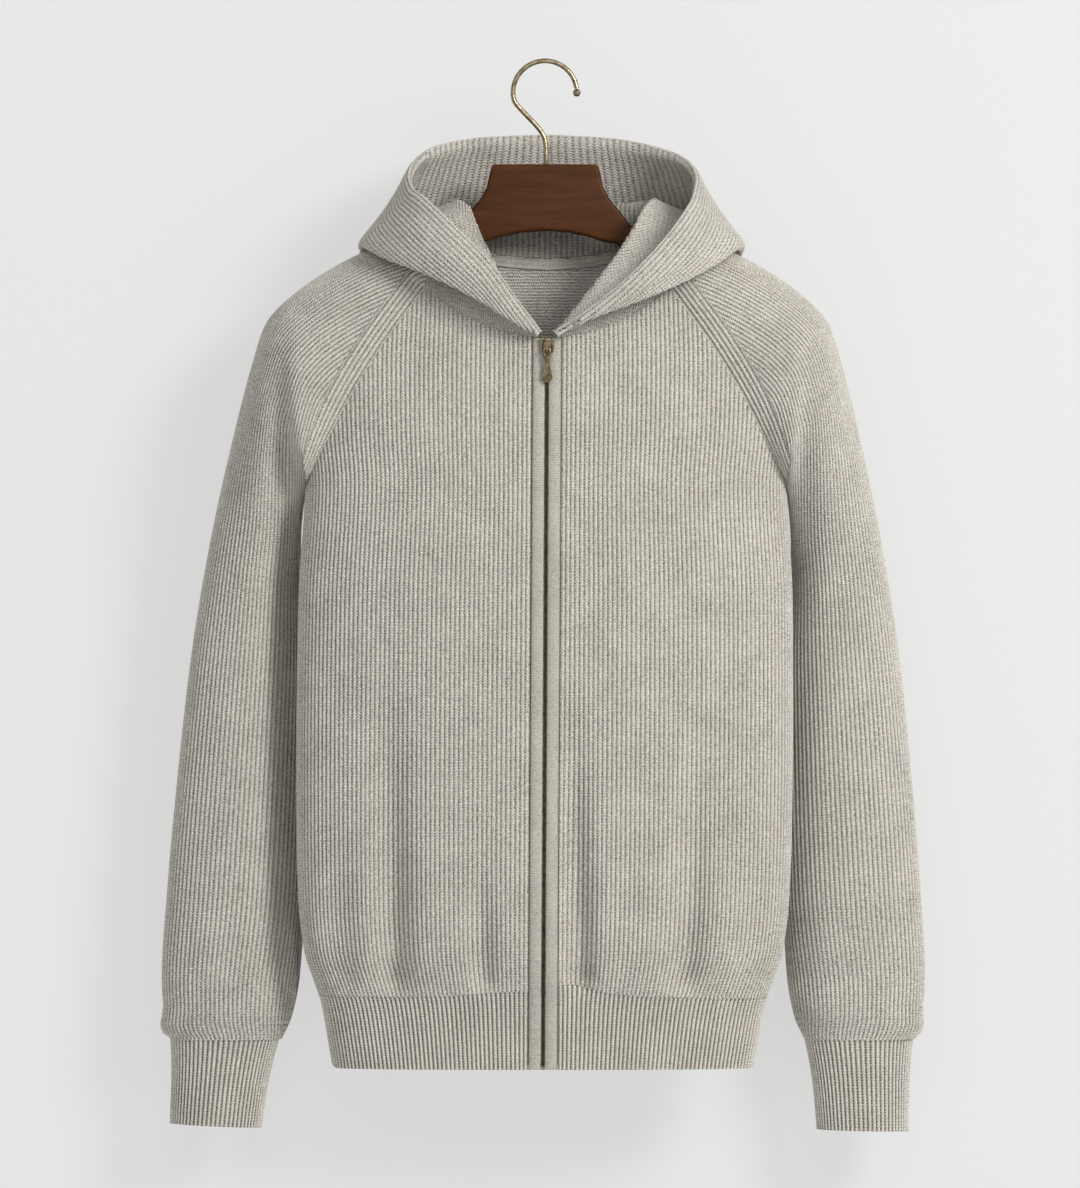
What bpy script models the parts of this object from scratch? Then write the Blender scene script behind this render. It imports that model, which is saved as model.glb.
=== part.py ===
"""A ribbed, hooded, zip-front cardigan on a wooden hanger.

Millimetres in the tables, metres in the meshes, +Z up, front towards -Y.
The origin is the inside top of the hanger's hook. "left" is -X and "right" is +X, seen from the front.
The forms are symmetrical half forms; place() mirrors them and adds the small lean of the hanging cloth.
"""

import math

import bmesh
import bpy
import numpy as np
from mathutils import Vector

MM = 0.001
NAME = "cardigan"

# Driving dimensions, mm
CLOTH = 2.2                # wall of the body, sleeves and ribs
HOOD_CLOTH = 2.6           # wall of the hood
SEAM_GAP = 0.3             # between neighbouring pieces
SUPER = 2.4                # exponent of the body's rounded sections
ZIP_TOP_Z = -232.0
HEM_SEAM_Z = -784.0
HEM_Z = -845.0
ARMPIT_Z = -356.0
CUFF_SEAM_Z = -823.0
CUFF_Z = -893.0
PLACKET_IN = 1.5           # placket's inner edge from the centre
PLACKET_OUT = 12.4         # placket's outer edge from the centre
ZIP_TAPE = 11.0            # width of a half of the zip tape
LEAN_TOP = 1.7             # sideways shift at the zip's top
LEAN = 0.0083              # sideways shift for each mm further down

# The body's sections: half width, depth in front of and behind the side line, and that line's y
BODY = {
    "z": (-120, -163, -191, -239, -281, -317, -356, -452, -560, -640, -704, -746, -775, -790, -822, -845),
    "half_width": (215, 215, 215, 215, 212, 208, 203, 208, 209, 208.5, 206.5, 201.5, 192, 187, 181, 177),
    "front": (34, 38, 42, 50, 56, 60, 62, 64, 64, 64, 65, 66, 61, 55, 51, 50),
    "back": (44, 51, 54, 57, 59, 60, 60, 59, 58, 58, 58, 58, 55, 51, 48, 47),
    "side_y": (-6, -6, -6, -6, -6, -6, -6, -7, -8, -8, -8, -8, -8, -8, -8, -8),
}

# The raglan seams and the necklines, as seen from the front and from behind
RAGLAN_FRONT = {"z": (-191, -239, -281, -317, -340, ARMPIT_Z), "x": (103, 138, 164, 183, 195, 203)}
RAGLAN_BACK = {"z": (-150, -200, -250, -300, -335, ARMPIT_Z), "x": (82, 114, 144, 172, 192, 203)}
NECK_FRONT = {"x": (8, 40, 63, 85, 103), "z": (-232, -226, -217, -204, -191)}
NECK_BACK = {"x": (0, 30, 55, 82), "z": (-163, -161, -157, -150)}

# The sleeve's ridge and underarm lines and half depth; t runs from the neck (0) to the cuff seam (1)
ARMPIT_T = 0.30
SLEEVE = {
    "t": (0.00, 0.06, 0.12, 0.18, 0.22, 0.26, 0.30, 0.34, 0.40, 0.55, 0.70, 0.85, 0.94, 0.975, 1.00),
    "ridge_x": (98, 135, 172, 212, 237, 249, 261, 269, 280, 298.5, 310, 318.5, 322.5, 320, 313),
    "ridge_y": (4, 6, 8, 9, 10, 12, 15, 19, 24, 30, 32, 32, 31, 30, 30),
    "ridge_z": (-139, -150, -167, -193, -219, -255, -300, -334, -385, -495, -600, -700, -771, -803, -822.6),
    "under_x": (203, 203, 203, 203, 203, 203, 203, 207.5, 206, 200, 200, 202, 206, 212, 220.6),
    "under_y": (-6, -6, -6, -6, -6, -6, -6, 13, 30, 37, 38, 36, 33, 31, 30),
    "under_z": (-356, -356, -356, -356, -356, -356, -356, -384, -428, -520, -612, -703, -772, -803, -822.6),
    "depth": (40, 42, 44, 46, 47, 47, 46, 43, 41, 40, 40, 39, 37, 34, 29),
}
CUFF = {
    "z": (CUFF_SEAM_Z, -835, -860, CUFF_Z),
    "outer_x": (312.8, 311.5, 310, 309.5),
    "inner_x": (220.8, 223.5, 228, 231.5),
    "depth": (28.6, 26.5, 25, 25),
}
CUFF_Y = 30.0

# The hood's lines round the neck; h is 0 at the back's middle and 1 at the zip.
# crest: inner fold above the neck seam. roll: outer fold. rim: the face edge.
# room: half the space inside the folds. swell: how far the outer layer bulges.
HOOD_H = (0.00, 0.18, 0.36, 0.46, 0.54, 0.62, 0.68, 0.76, 0.86, 0.94, 1.00)
CREST_LEFT = {
    "x": (0, 42, 74, 83, 77, 67, 60, 50, 33, 16, 6),
    "y": (46, 44, 32, 14, -4, -20, -34, -48, -58, -62, -61),
    "z": (-122, -120, -116, -116, -115.5, -122, -138, -159, -192, -217, -229.5),
}
CREST_RIGHT = {
    "x": (0, 42, 77, 90, 89, 81, 73, 61, 40, 19, 6),
    "y": (46, 44, 32, 14, -4, -20, -34, -48, -58, -62, -61),
    "z": (-122, -120, -116, -116, -114, -122, -138, -159, -187, -213, -229.5),
}
ROLL_LEFT = {
    "x": (0, 72, 126, 148, 157, 155, 139, 104, 60, 29, 7),
    "y": (84, 84, 76, 55, 24, -14, -44, -70, -79, -75, -65),
    "z": (-302, -288, -236, -185, -156, -155, -164, -178, -200, -219.5, -230.5),
}
ROLL_RIGHT = {
    "x": (0, 72, 128, 153, 164, 162, 143, 110, 71, 34, 8),
    "y": (84, 84, 76, 55, 24, -14, -44, -70, -79, -75, -65),
    "z": (-302, -288, -238, -186, -156.5, -155.5, -169, -187, -204, -218, -230.5),
}
RIM_LEFT = {
    "x": (0, 50, 92, 111, 116, 112, 104, 80, 50, 24, 4),
    "y": (62, 52, 22, -10, -36, -56, -68, -80, -85, -78, -66),
    "z": (-57.5, -60, -68.5, -82, -96, -108, -114, -137, -167, -202, -228),
}
RIM_RIGHT = {
    "x": (0, 52, 98, 119, 124, 121, 114, 98, 68, 34, 5),
    "y": (62, 52, 22, -10, -36, -56, -68, -80, -85, -78, -66),
    "z": (-57.5, -61, -72, -84.5, -98, -114, -127, -149, -181, -209, -228),
}
HOOD_CURVE = {
    "room": (7.0, 7.0, 6.4, 5.2, 4.4, 4.4, 5.0, 5.4, 3.9, 2.2, 0.9),
    "swell": (11.0, 11.0, 8.5, 4.0, 1.5, 1.5, 4.5, 8.0, 5.5, 2.4, 0.0),
}
NECK_INSET = 2.2           # how far the hood stands inside the sleeves' neck edges
HOOD_SPLIT = 0.41          # where the side panels meet the centre panel
HOOD_GAP = 0.015           # the seam there, in h
NECK_BACK_H = 0.36         # h where the back neck ends at the sleeve
NECK_FRONT_H = 0.68        # h where the front neck begins

# Folds of the fronts: middle at the hem seam, lean, half width, depth, highest point
FOLDS = (
    {"side": -1, "x": 111, "lean": 0.03, "half": 17, "depth": 5.0, "top": -560},
    {"side": -1, "x": 42, "lean": 0.04, "half": 12, "depth": 3.6, "top": -660},
    {"side": -1, "x": 165, "lean": 0.08, "half": 16, "depth": 2.6, "top": -610},
    {"side": 1, "x": 32, "lean": -0.05, "half": 13, "depth": 5.2, "top": -570},
    {"side": 1, "x": 121, "lean": 0.05, "half": 16, "depth": 4.2, "top": -600},
    {"side": 1, "x": 172, "lean": 0.06, "half": 14, "depth": 2.4, "top": -630},
)
BACK_FOLDS = (
    {"side": -1, "x": 120, "lean": 0.02, "half": 18, "depth": 4.6, "top": -560},
    {"side": -1, "x": 40, "lean": 0.05, "half": 15, "depth": 3.4, "top": -640},
    {"side": 1, "x": 74, "lean": -0.02, "half": 17, "depth": 4.8, "top": -590},
    {"side": 1, "x": 150, "lean": 0.05, "half": 16, "depth": 3.2, "top": -620},
)

# Hanger, mm
WOOD_THICK = 13.0
ARM_END_X = 210.0
ARM_DROP = 5.8             # arm's top below the shoulder ridge, which clears the cloth's wall
BLOCK_TOP_Z = -85.0
WIRE_R = 2.1
HOOK_R = 27.0              # to the wire's middle
BALL_R = 3.4

# Slider and pull, mm
SLIDER_Z = -241.0
SLIDER_SIZE = (6.8, 3.4, 17.0)
PIN_Z = -242.0             # the pull's axis
BAIL_R = 0.75
BAIL_RISE = 3.0            # half the bail's height
BAIL_OUT = 5.0             # bail's reach from the slider's face
BAR = 0.7                  # half the pull's top bar
BAR_OUT = 2.5              # bar's middle from the slider's face
PULL_THICK = 1.4
PULL_HALF_TOP = 3.0
PULL_HALF_LOW = 4.6
PULL_LONG = 28.0


def column(table, name, at, key="z"):
    """Monotone cubic through one column of a table, at the given keys."""
    xs = np.asarray(table[key], float)
    ys = np.asarray(table[name], float)
    if xs[0] > xs[-1]:
        xs = xs[::-1]
        ys = ys[::-1]
    step = np.diff(xs)
    slope = np.diff(ys) / step
    same = slope[:-1] * slope[1:] > 0
    inner = np.zeros(len(xs) - 2)
    inner[same] = 2 * slope[:-1][same] * slope[1:][same] / (slope[:-1][same] + slope[1:][same])
    tangent = np.concatenate(([slope[0]], inner, [slope[-1]]))
    at = np.clip(np.asarray(at, float), xs[0], xs[-1])
    i = np.clip(np.searchsorted(xs, at, side="right") - 1, 0, len(xs) - 2)
    u = (at - xs[i]) / step[i]
    h00 = (1 + 2 * u) * (1 - u) ** 2
    h10 = u * (1 - u) ** 2
    h01 = u * u * (3 - 2 * u)
    h11 = u * u * (u - 1)
    return h00 * ys[i] + h10 * step[i] * tangent[i] + h01 * ys[i + 1] + h11 * step[i] * tangent[i + 1]


ANGLES = np.linspace(0, math.pi / 2, 61)
BULGE = 2 / SUPER


def quarter(face, z):
    """Half width and depth at heights z, and the arc lengths at ANGLES."""
    wide = column(BODY, "half_width", z)[..., None]
    deep = column(BODY, face, z)[..., None]
    xs = wide * np.sin(ANGLES) ** BULGE
    ys = deep * np.cos(ANGLES) ** BULGE
    steps = np.hypot(np.diff(xs), np.diff(ys))
    return wide[..., 0], deep[..., 0], np.concatenate((np.zeros_like(wide), np.cumsum(steps, -1)), -1)


def fold_depth(face, x, z):
    """How far the soft folds push the cloth in; x is signed."""
    depth = np.zeros(np.broadcast(x, z).shape)
    for fold in FOLDS if face == "front" else BACK_FOLDS:
        middle = fold["side"] * (fold["x"] + fold["lean"] * (z - HEM_SEAM_Z))
        across = np.exp(-((x - middle) / fold["half"]) ** 2)
        rise = np.clip((fold["top"] - z) / (fold["top"] - HEM_SEAM_Z - 35), 0, 1)
        fade = np.clip((z - HEM_SEAM_Z) / 30, 0, 1)
        depth += fold["depth"] * across * rise * rise * (3 - 2 * rise) * fade
    return depth


def place(points, side):
    """Mirrors a half form to its side and adds the lean."""
    points = np.array(points)
    points[..., 0] = side * points[..., 0] + LEAN_TOP + LEAN * (points[..., 2] - ZIP_TOP_Z)
    return points


def body_at(face, side, arc, z):
    """Points on the body at arc lengths from the centre line, on one side."""
    arc, z = np.broadcast_arrays(np.asarray(arc, float), np.asarray(z, float))
    wide, deep, lengths = quarter(face, z)
    arc = np.clip(arc, 0, lengths[..., -1])
    i = np.clip((lengths <= arc[..., None]).sum(-1) - 1, 0, len(ANGLES) - 2)
    low = np.take_along_axis(lengths, i[..., None], -1)[..., 0]
    high = np.take_along_axis(lengths, i[..., None] + 1, -1)[..., 0]
    angle = ANGLES[i] + (ANGLES[1] - ANGLES[0]) * (arc - low) / (high - low)
    x = wide * np.sin(angle) ** BULGE
    depth = deep * np.cos(np.minimum(angle, math.pi / 2)) ** BULGE - fold_depth(face, side * x, z)
    toward = -1 if face == "front" else 1
    y = column(BODY, "side_y", z) + toward * depth
    return place(np.stack((x, y, z), -1), side)


def arc_to(face, x, z):
    """Arc length from the centre line to distance x."""
    wide, _, lengths = quarter(face, np.asarray(z, float))
    angle = np.arcsin(np.clip(np.asarray(x) / wide, 0, 1) ** (1 / BULGE))
    spot = angle / (ANGLES[1] - ANGLES[0])
    i = np.clip(spot.astype(int), 0, len(ANGLES) - 2)
    low = np.take_along_axis(lengths, i[..., None], -1)[..., 0]
    high = np.take_along_axis(lengths, i[..., None] + 1, -1)[..., 0]
    return low + (high - low) * (spot - i)


def whole_arc(face, z):
    """Arc length from the centre line to the side."""
    return quarter(face, np.asarray(z, float))[2][..., -1]


def raglan(face, s):
    """Distance x and height z on a raglan seam, s from the neck (0) to the armpit (1)."""
    table = RAGLAN_FRONT if face == "front" else RAGLAN_BACK
    z = table["z"][0] + (ARMPIT_Z - table["z"][0]) * np.asarray(s, float)
    return column(table, "x", z), z


def neckline(face, v):
    """Distance x and height z on a neckline, v from the centre (0) to the raglan seam (1)."""
    table = NECK_FRONT if face == "front" else NECK_BACK
    x = table["x"][0] + (table["x"][-1] - table["x"][0]) * np.asarray(v, float)
    return x, column(table, "z", x, "x")


def panel(face, side, neck_steps, seam_steps, rows, start):
    """Grid of a front or half back: columns from the centre out, rows from the top edge to the hem seam."""
    neck = neckline(face, np.asarray(neck_steps))
    seam = raglan(face, np.asarray(seam_steps))
    top_x = np.concatenate((neck[0], seam[0]))
    top_z = np.concatenate((neck[1], seam[1]))
    whole = whole_arc(face, top_z)
    share = (arc_to(face, top_x, top_z) - start) / (whole - start)
    share = np.clip(share, 0, 1)
    v = np.asarray(rows)[:, None]
    z = (top_z - SEAM_GAP)[None, :] * (1 - v) + (HEM_SEAM_Z + SEAM_GAP) * v
    whole = whole_arc(face, z)
    arc = start + share[None, :] * (whole - start)
    inset = SEAM_GAP * (1 + np.clip(share * 30 - 29, 0, 1))[None, :]
    return body_at(face, side, np.minimum(arc, whole - inset), z)


def bezier(a, b, c, d, u):
    """Cubic from a to d; a..d are (rows, 3), u is (columns,)."""
    u = np.asarray(u)[None, :, None]
    a, b, c, d = (np.asarray(p)[:, None, :] for p in (a, b, c, d))
    return (1 - u) ** 3 * a + 3 * u * (1 - u) ** 2 * b + 3 * u * u * (1 - u) * c + u ** 3 * d


def unit(v):
    return v / np.linalg.norm(v, axis=-1, keepdims=True)


def sleeve(side, ts, us):
    """Grid of a sleeve: rows down its length, columns from the front seam over the ridge to the back seam."""
    ts = np.asarray(ts, float)
    ridge = np.stack([column(SLEEVE, "ridge_" + k, ts, "t") for k in "xyz"], -1)
    under = np.stack([column(SLEEVE, "under_" + k, ts, "t") for k in "xyz"], -1)
    depth = column(SLEEVE, "depth", ts, "t")[:, None]
    s = np.clip(ts / ARMPIT_T, 0, 1)
    cap = (ts < ARMPIT_T)[:, None]
    halves = []
    for face, forward in (("front", -1.0), ("back", 1.0)):
        x, z = raglan(face, s)
        seam = body_at(face, 1, arc_to(face, x, z), z)
        seam[:, 0] -= LEAN_TOP + LEAN * (seam[:, 2] - ZIP_TOP_Z)
        edge = np.where(cap, seam, under)
        out = np.array((0.0, forward, 0.0))
        across = ridge - edge
        flat = unit(across * np.array((1.0, 0.0, 1.0)))
        turn = np.clip(0.12 + 0.88 * s ** 3, 0, 1)[:, None]
        start = unit(flat * (1 - turn) + out * turn)
        reach = np.linalg.norm(across, axis=-1, keepdims=True)
        tube = 4 / 3 * depth
        pull = np.where(cap, 0.36 * reach * (1 - turn) + tube * turn, tube)
        hold = np.where(cap, 0.42 * reach * (1 - turn) + tube * turn, tube)
        edge = edge + start * 2 * SEAM_GAP
        halves.append(bezier(edge, edge + start * pull, ridge + out * hold, ridge, us))
    front, back = halves
    grid = np.concatenate((front, back[:, -2::-1]), 1)
    return place(grid, side)


def cuff(side, zs, around):
    """Rings of a cuff, each starting at the inner edge and going round by the front."""
    zs = np.asarray(zs, float)
    outer = column(CUFF, "outer_x", zs)[:, None]
    inner = column(CUFF, "inner_x", zs)[:, None]
    depth = column(CUFF, "depth", zs)[:, None]
    angle = np.asarray(around)[None, :]
    x = (outer + inner) / 2 - (outer - inner) / 2 * np.cos(angle)
    y = CUFF_Y - depth * np.sin(angle)
    return place(np.stack((x, y, np.broadcast_to(zs[:, None], x.shape)), -1), side)


def neck_ring(side, h):
    """Points on the neck seam, h from the back's middle (0) to the zip (1)."""
    h = np.asarray(h, float)
    back = neckline("back", np.clip(h / NECK_BACK_H, 0, 1))
    front = neckline("front", np.clip((1 - h) / (1 - NECK_FRONT_H), 0, 1))
    on_back = body_at("back", side, arc_to("back", *back), back[1])
    on_front = body_at("front", side, arc_to("front", *front), front[1])
    over = np.clip((h - NECK_BACK_H) / (NECK_FRONT_H - NECK_BACK_H), 0, 1)
    top = sleeve(side, (0.0,), np.linspace(0, 1, 17))[0]
    spot = np.linspace(1, 0, len(top))
    on_sleeve = np.stack([np.interp(over, spot[::-1], top[::-1, k]) for k in range(3)], -1)
    on_sleeve[:, 0] -= side * NECK_INSET * np.sin(math.pi * np.clip(over, 0.12, 0.88))
    ring = np.where((h <= NECK_BACK_H)[:, None], on_back, on_sleeve)
    ring = np.where((h >= NECK_FRONT_H)[:, None], on_front, ring)
    return ring + np.array((0.0, 0.0, 3 * SEAM_GAP))


def hood_line(left, right, side, h):
    """Points on one of the hood's lines, from its left or right table."""
    rows = dict(left if side < 0 else right, h=HOOD_H)
    line = np.stack([column(rows, k, h, "h") for k in "xyz"], -1)
    return place(line, side)


def hood(side, hs, steps):
    """Grid of the hood: rows round the neck, columns from the neck seam over crest and roll to the rim."""
    hs = np.asarray(hs, float)
    neck = neck_ring(side, hs)
    crest = hood_line(CREST_LEFT, CREST_RIGHT, side, hs)
    roll = hood_line(ROLL_LEFT, ROLL_RIGHT, side, hs)
    rim = hood_line(RIM_LEFT, RIM_RIGHT, side, hs)
    out = roll - crest
    out[:, 2] = 0
    out = unit(out + np.array((0.0, 1e-6, 0.0)))
    near = np.clip((1 - hs) / 0.28, 0, 1)[:, None]
    curve = dict(HOOD_CURVE, h=HOOD_H)
    room = column(curve, "room", hs, "h")[:, None]
    swell = column(curve, "swell", hs, "h")[:, None]
    up = np.array((0.0, 0.0, 1.0))
    band = unit(rim - roll)
    turn = unit(np.cross(np.cross(band, out), band))
    line = np.stack((
        neck,
        (neck + crest) / 2 - out * room * 0.2,
        crest,
        crest + out * room * 1.3 - up * room * 0.8,
        (crest + roll) / 2 + out * room * 0.8 * near + up * room * 0.5 * near,
        roll - out * room * 0.9 + up * room * 0.1 + band * room * 0.2,
        roll,
        roll + band * room * 1.7 + turn * room * 0.9,
        (roll + rim) / 2 + turn * swell,
        rim + (roll - rim) * 0.12 + turn * room * 0.25,
        rim,
    ), 1)
    return curve_through(line, steps)


def curve_through(line, steps):
    """Catmull-Rom through line, (rows, points, 3), at steps from 0 to points - 1."""
    steps = np.asarray(steps, float)
    last = line.shape[1] - 1
    i = np.clip(np.floor(steps).astype(int), 0, last - 1)
    u = (steps - i)[None, :, None]
    p0 = line[:, np.clip(i - 1, 0, last)]
    p1 = line[:, i]
    p2 = line[:, i + 1]
    p3 = line[:, np.clip(i + 2, 0, last)]
    slope1 = (p2 - p0) / 2
    slope2 = (p3 - p1) / 2
    h00 = (1 + 2 * u) * (1 - u) ** 2
    h10 = u * (1 - u) ** 2
    h01 = u * u * (3 - 2 * u)
    h11 = u * u * (u - 1)
    return h00 * p1 + h10 * slope1 + h01 * p2 + h11 * slope2


# Materials and meshes

def material(name, colour, roughness, metallic=0.0):
    made = bpy.data.materials.new(name)
    made.use_nodes = True
    shader = made.node_tree.nodes["Principled BSDF"]
    shader.inputs["Base Color"].default_value = (*colour, 1.0)
    shader.inputs["Roughness"].default_value = roughness
    shader.inputs["Metallic"].default_value = metallic
    return made


def add_object(name, data, finish, collection):
    made = bpy.data.objects.new(name, data)
    made.data.materials.append(finish)
    collection.objects.link(made)
    return made


def grid_mesh(name, grid, flip=False, close=False, weld=0.0):
    """A mesh on a grid of points in mm; close joins the last column to the first."""
    rows, columns = grid.shape[:2]
    build = bmesh.new()
    verts = [[build.verts.new(Vector(p) * MM) for p in row] for row in grid]
    span = columns if close else columns - 1
    for r in range(rows - 1):
        for c in range(span):
            d = (c + 1) % columns
            face = (verts[r][c], verts[r][d], verts[r + 1][d], verts[r + 1][c])
            build.faces.new(face[::-1] if flip else face)
    if weld:
        bmesh.ops.remove_doubles(build, verts=build.verts, dist=weld * MM)
    mesh = bpy.data.meshes.new(name)
    build.to_mesh(mesh)
    build.free()
    mesh.shade_smooth()
    return mesh


def cloth(name, grid, finish, collection, thick=CLOTH, offset=-1.0, **options):
    made = add_object(name, grid_mesh(name, grid, **options), finish, collection)
    wall = made.modifiers.new("wall", "SOLIDIFY")
    wall.thickness = thick * MM
    wall.offset = offset
    return made


def box(name, centre, size, finish, collection, bevel=0.0):
    build = bmesh.new()
    bmesh.ops.create_cube(build, size=1.0)
    for vert in build.verts:
        vert.co = Vector([vert.co[i] * size[i] * MM for i in range(3)])
    mesh = bpy.data.meshes.new(name)
    build.to_mesh(mesh)
    build.free()
    made = add_object(name, mesh, finish, collection)
    made.location = Vector(centre) * MM
    if bevel:
        edge = made.modifiers.new("edge", "BEVEL")
        edge.width = bevel * MM
        edge.segments = 2
    return made


# Pieces

SEAM_STEPS = (0.0, 0.2, 0.4, 0.58, 0.74, 0.88, 0.96, 1.0)
NECK_STEPS = (0.04, 0.3, 0.55, 0.8)
BACK_NECK_STEPS = (0.0, 0.2, 0.4, 0.6, 0.8)
BODY_ROWS = (0.0, 0.06, 0.13, 0.22, 0.32, 0.43, 0.54, 0.64, 0.74, 0.83, 0.90, 0.95, 1.0)
TUBE_ROWS = (0.34, 0.38, 0.44, 0.52, 0.61, 0.70, 0.79, 0.87, 0.93, 0.97, 0.9995)
HALF_ROUND = tuple(i / 8 for i in range(9))
HOOD_STEPS = (0, 1, 1.6, 2, 2.5, 3, 4, 5, 5.5, 6, 6.5, 7, 8, 9, 10)
HEM_ROWS = 4


def make_fronts(finish, rib, collection):
    for side, name in ((-1, "left"), (1, "right")):
        grid = panel("front", side, NECK_STEPS, SEAM_STEPS, BODY_ROWS, PLACKET_OUT + SEAM_GAP)
        cloth("front_" + name, grid, finish, collection, flip=side > 0)
        share = np.linspace(0, 1, 15)
        zs = np.linspace(HEM_SEAM_Z - SEAM_GAP, HEM_Z, HEM_ROWS)[:, None]
        whole = whole_arc("front", zs)
        start = PLACKET_OUT + SEAM_GAP
        band = body_at("front", side, start + share * (whole - 2 * SEAM_GAP - start), zs)
        cloth("hem_front_" + name, band, rib, collection, flip=side > 0)


def make_back(finish, rib, collection):
    halves = [panel("back", side, BACK_NECK_STEPS, SEAM_STEPS, BODY_ROWS, 0.0) for side in (-1, 1)]
    grid = np.concatenate((halves[0][:, ::-1], halves[1][:, 1:]), 1)
    cloth("back", grid, finish, collection)
    share = np.linspace(0, 1, 14)
    zs = np.linspace(HEM_SEAM_Z - SEAM_GAP, HEM_Z, HEM_ROWS)[:, None]
    whole = whole_arc("back", zs)
    halves = [body_at("back", side, share * (whole - 2 * SEAM_GAP), zs) for side in (-1, 1)]
    band = np.concatenate((halves[0][:, ::-1], halves[1][:, 1:]), 1)
    cloth("hem_back", band, rib, collection)


def make_sleeves(finish, rib, collection):
    ts = [s * ARMPIT_T for s in SEAM_STEPS[:-1]] + [ARMPIT_T + 0.004] + list(TUBE_ROWS)
    around = np.linspace(0, 2 * math.pi, 20, endpoint=False)
    for side, name in ((-1, "left"), (1, "right")):
        grid = sleeve(side, ts, HALF_ROUND)
        cloth("sleeve_" + name, grid, finish, collection, flip=side > 0, weld=1.4)
        zs = np.linspace(CUFF_SEAM_Z, CUFF_Z, 4)
        cloth("cuff_" + name, cuff(side, zs, around), rib, collection, flip=side > 0, close=True)


def make_hood(finish, collection):
    side_h = np.linspace(HOOD_SPLIT + HOOD_GAP, 0.995, 14)
    for side, name in ((-1, "left"), (1, "right")):
        grid = hood(side, side_h, HOOD_STEPS)
        cloth("hood_" + name, grid, finish, collection, HOOD_CLOTH, 0.0, flip=side < 0)
    centre_h = np.linspace(0, HOOD_SPLIT, 6)
    left = hood(-1, centre_h, HOOD_STEPS)[::-1]
    right = hood(1, centre_h[1:], HOOD_STEPS)
    grid = np.concatenate((left, right), 0)
    cloth("hood_back", grid, finish, collection, HOOD_CLOTH, 0.0, flip=True)


def strip(face, side, near, far, zs, inward, across=1):
    """Grid of a strip between two distances from the centre line, moved inward from the cloth's face."""
    zs = np.asarray(zs, float)[:, None]
    grid = body_at(face, side, np.linspace(near, far, across + 1)[None, :], zs)
    grid[..., 1] += inward if face == "front" else -inward
    return grid


def make_front_edges(finish, tape, collection):
    zs = np.linspace(ZIP_TOP_Z - 0.6, HEM_Z, 15)
    for side, name in ((-1, "left"), (1, "right")):
        grid = strip("front", side, PLACKET_IN, PLACKET_OUT, zs, 0.0, 2)
        cloth("placket_" + name, grid, finish, collection, flip=side > 0)
        grid = strip("front", side, SEAM_GAP, ZIP_TAPE, zs, CLOTH + SEAM_GAP)
        cloth("zip_" + name, grid, tape, collection, 1.4, flip=side > 0)


def make_neck_tape(finish, collection):
    share = np.linspace(-1, 1, 15)
    rows = []
    for drop in (2.0, 10.0):
        x, z = neckline("back", np.abs(share) * 0.9)
        z = z - drop
        arc = arc_to("back", x, z)
        half = [body_at("back", 1 if s > 0 else -1, a, h) for s, a, h in zip(share, arc, z)]
        rows.append(np.array(half))
    grid = np.array(rows)
    grid[..., 1] -= CLOTH + 2 * SEAM_GAP
    cloth("neck_tape", grid, finish, collection, 1.2)


def ridge_z(x):
    """The shoulder ridge's height at distance x, and the same slope carried on towards the neck."""
    table = {"x": SLEEVE["ridge_x"][:4], "z": SLEEVE["ridge_z"][:4]}
    inside = np.minimum(x - table["x"][0], 0) * (table["z"][1] - table["z"][0]) / (table["x"][1] - table["x"][0])
    return column(table, "z", x, "x") + inside * 1.35


def hanger_outline():
    """Half outline of the hanger's wood, top edge out and bottom edge back, (x, z)."""
    block = [(0, BLOCK_TOP_Z), (42, BLOCK_TOP_Z), (45, -86.5), (46.5, -92), (49, -104), (54, -114), (61, -122)]
    xs = np.linspace(72, ARM_END_X, 9)
    top = [(x, float(ridge_z(x)) - ARM_DROP - CLOTH) for x in xs]
    tip = [(ARM_END_X + 4, top[-1][1] - 5), (ARM_END_X + 4, top[-1][1] - 11)]
    height = np.interp(xs, (72, ARM_END_X), (27, 16))
    bottom = [(x, z - h) for (x, z), h in zip(top, height)][::-1]
    arch = [(60, -152), (50, -150.5), (36, -146), (20, -142.5), (0, -141)]
    return block + top + tip + bottom + arch


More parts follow.
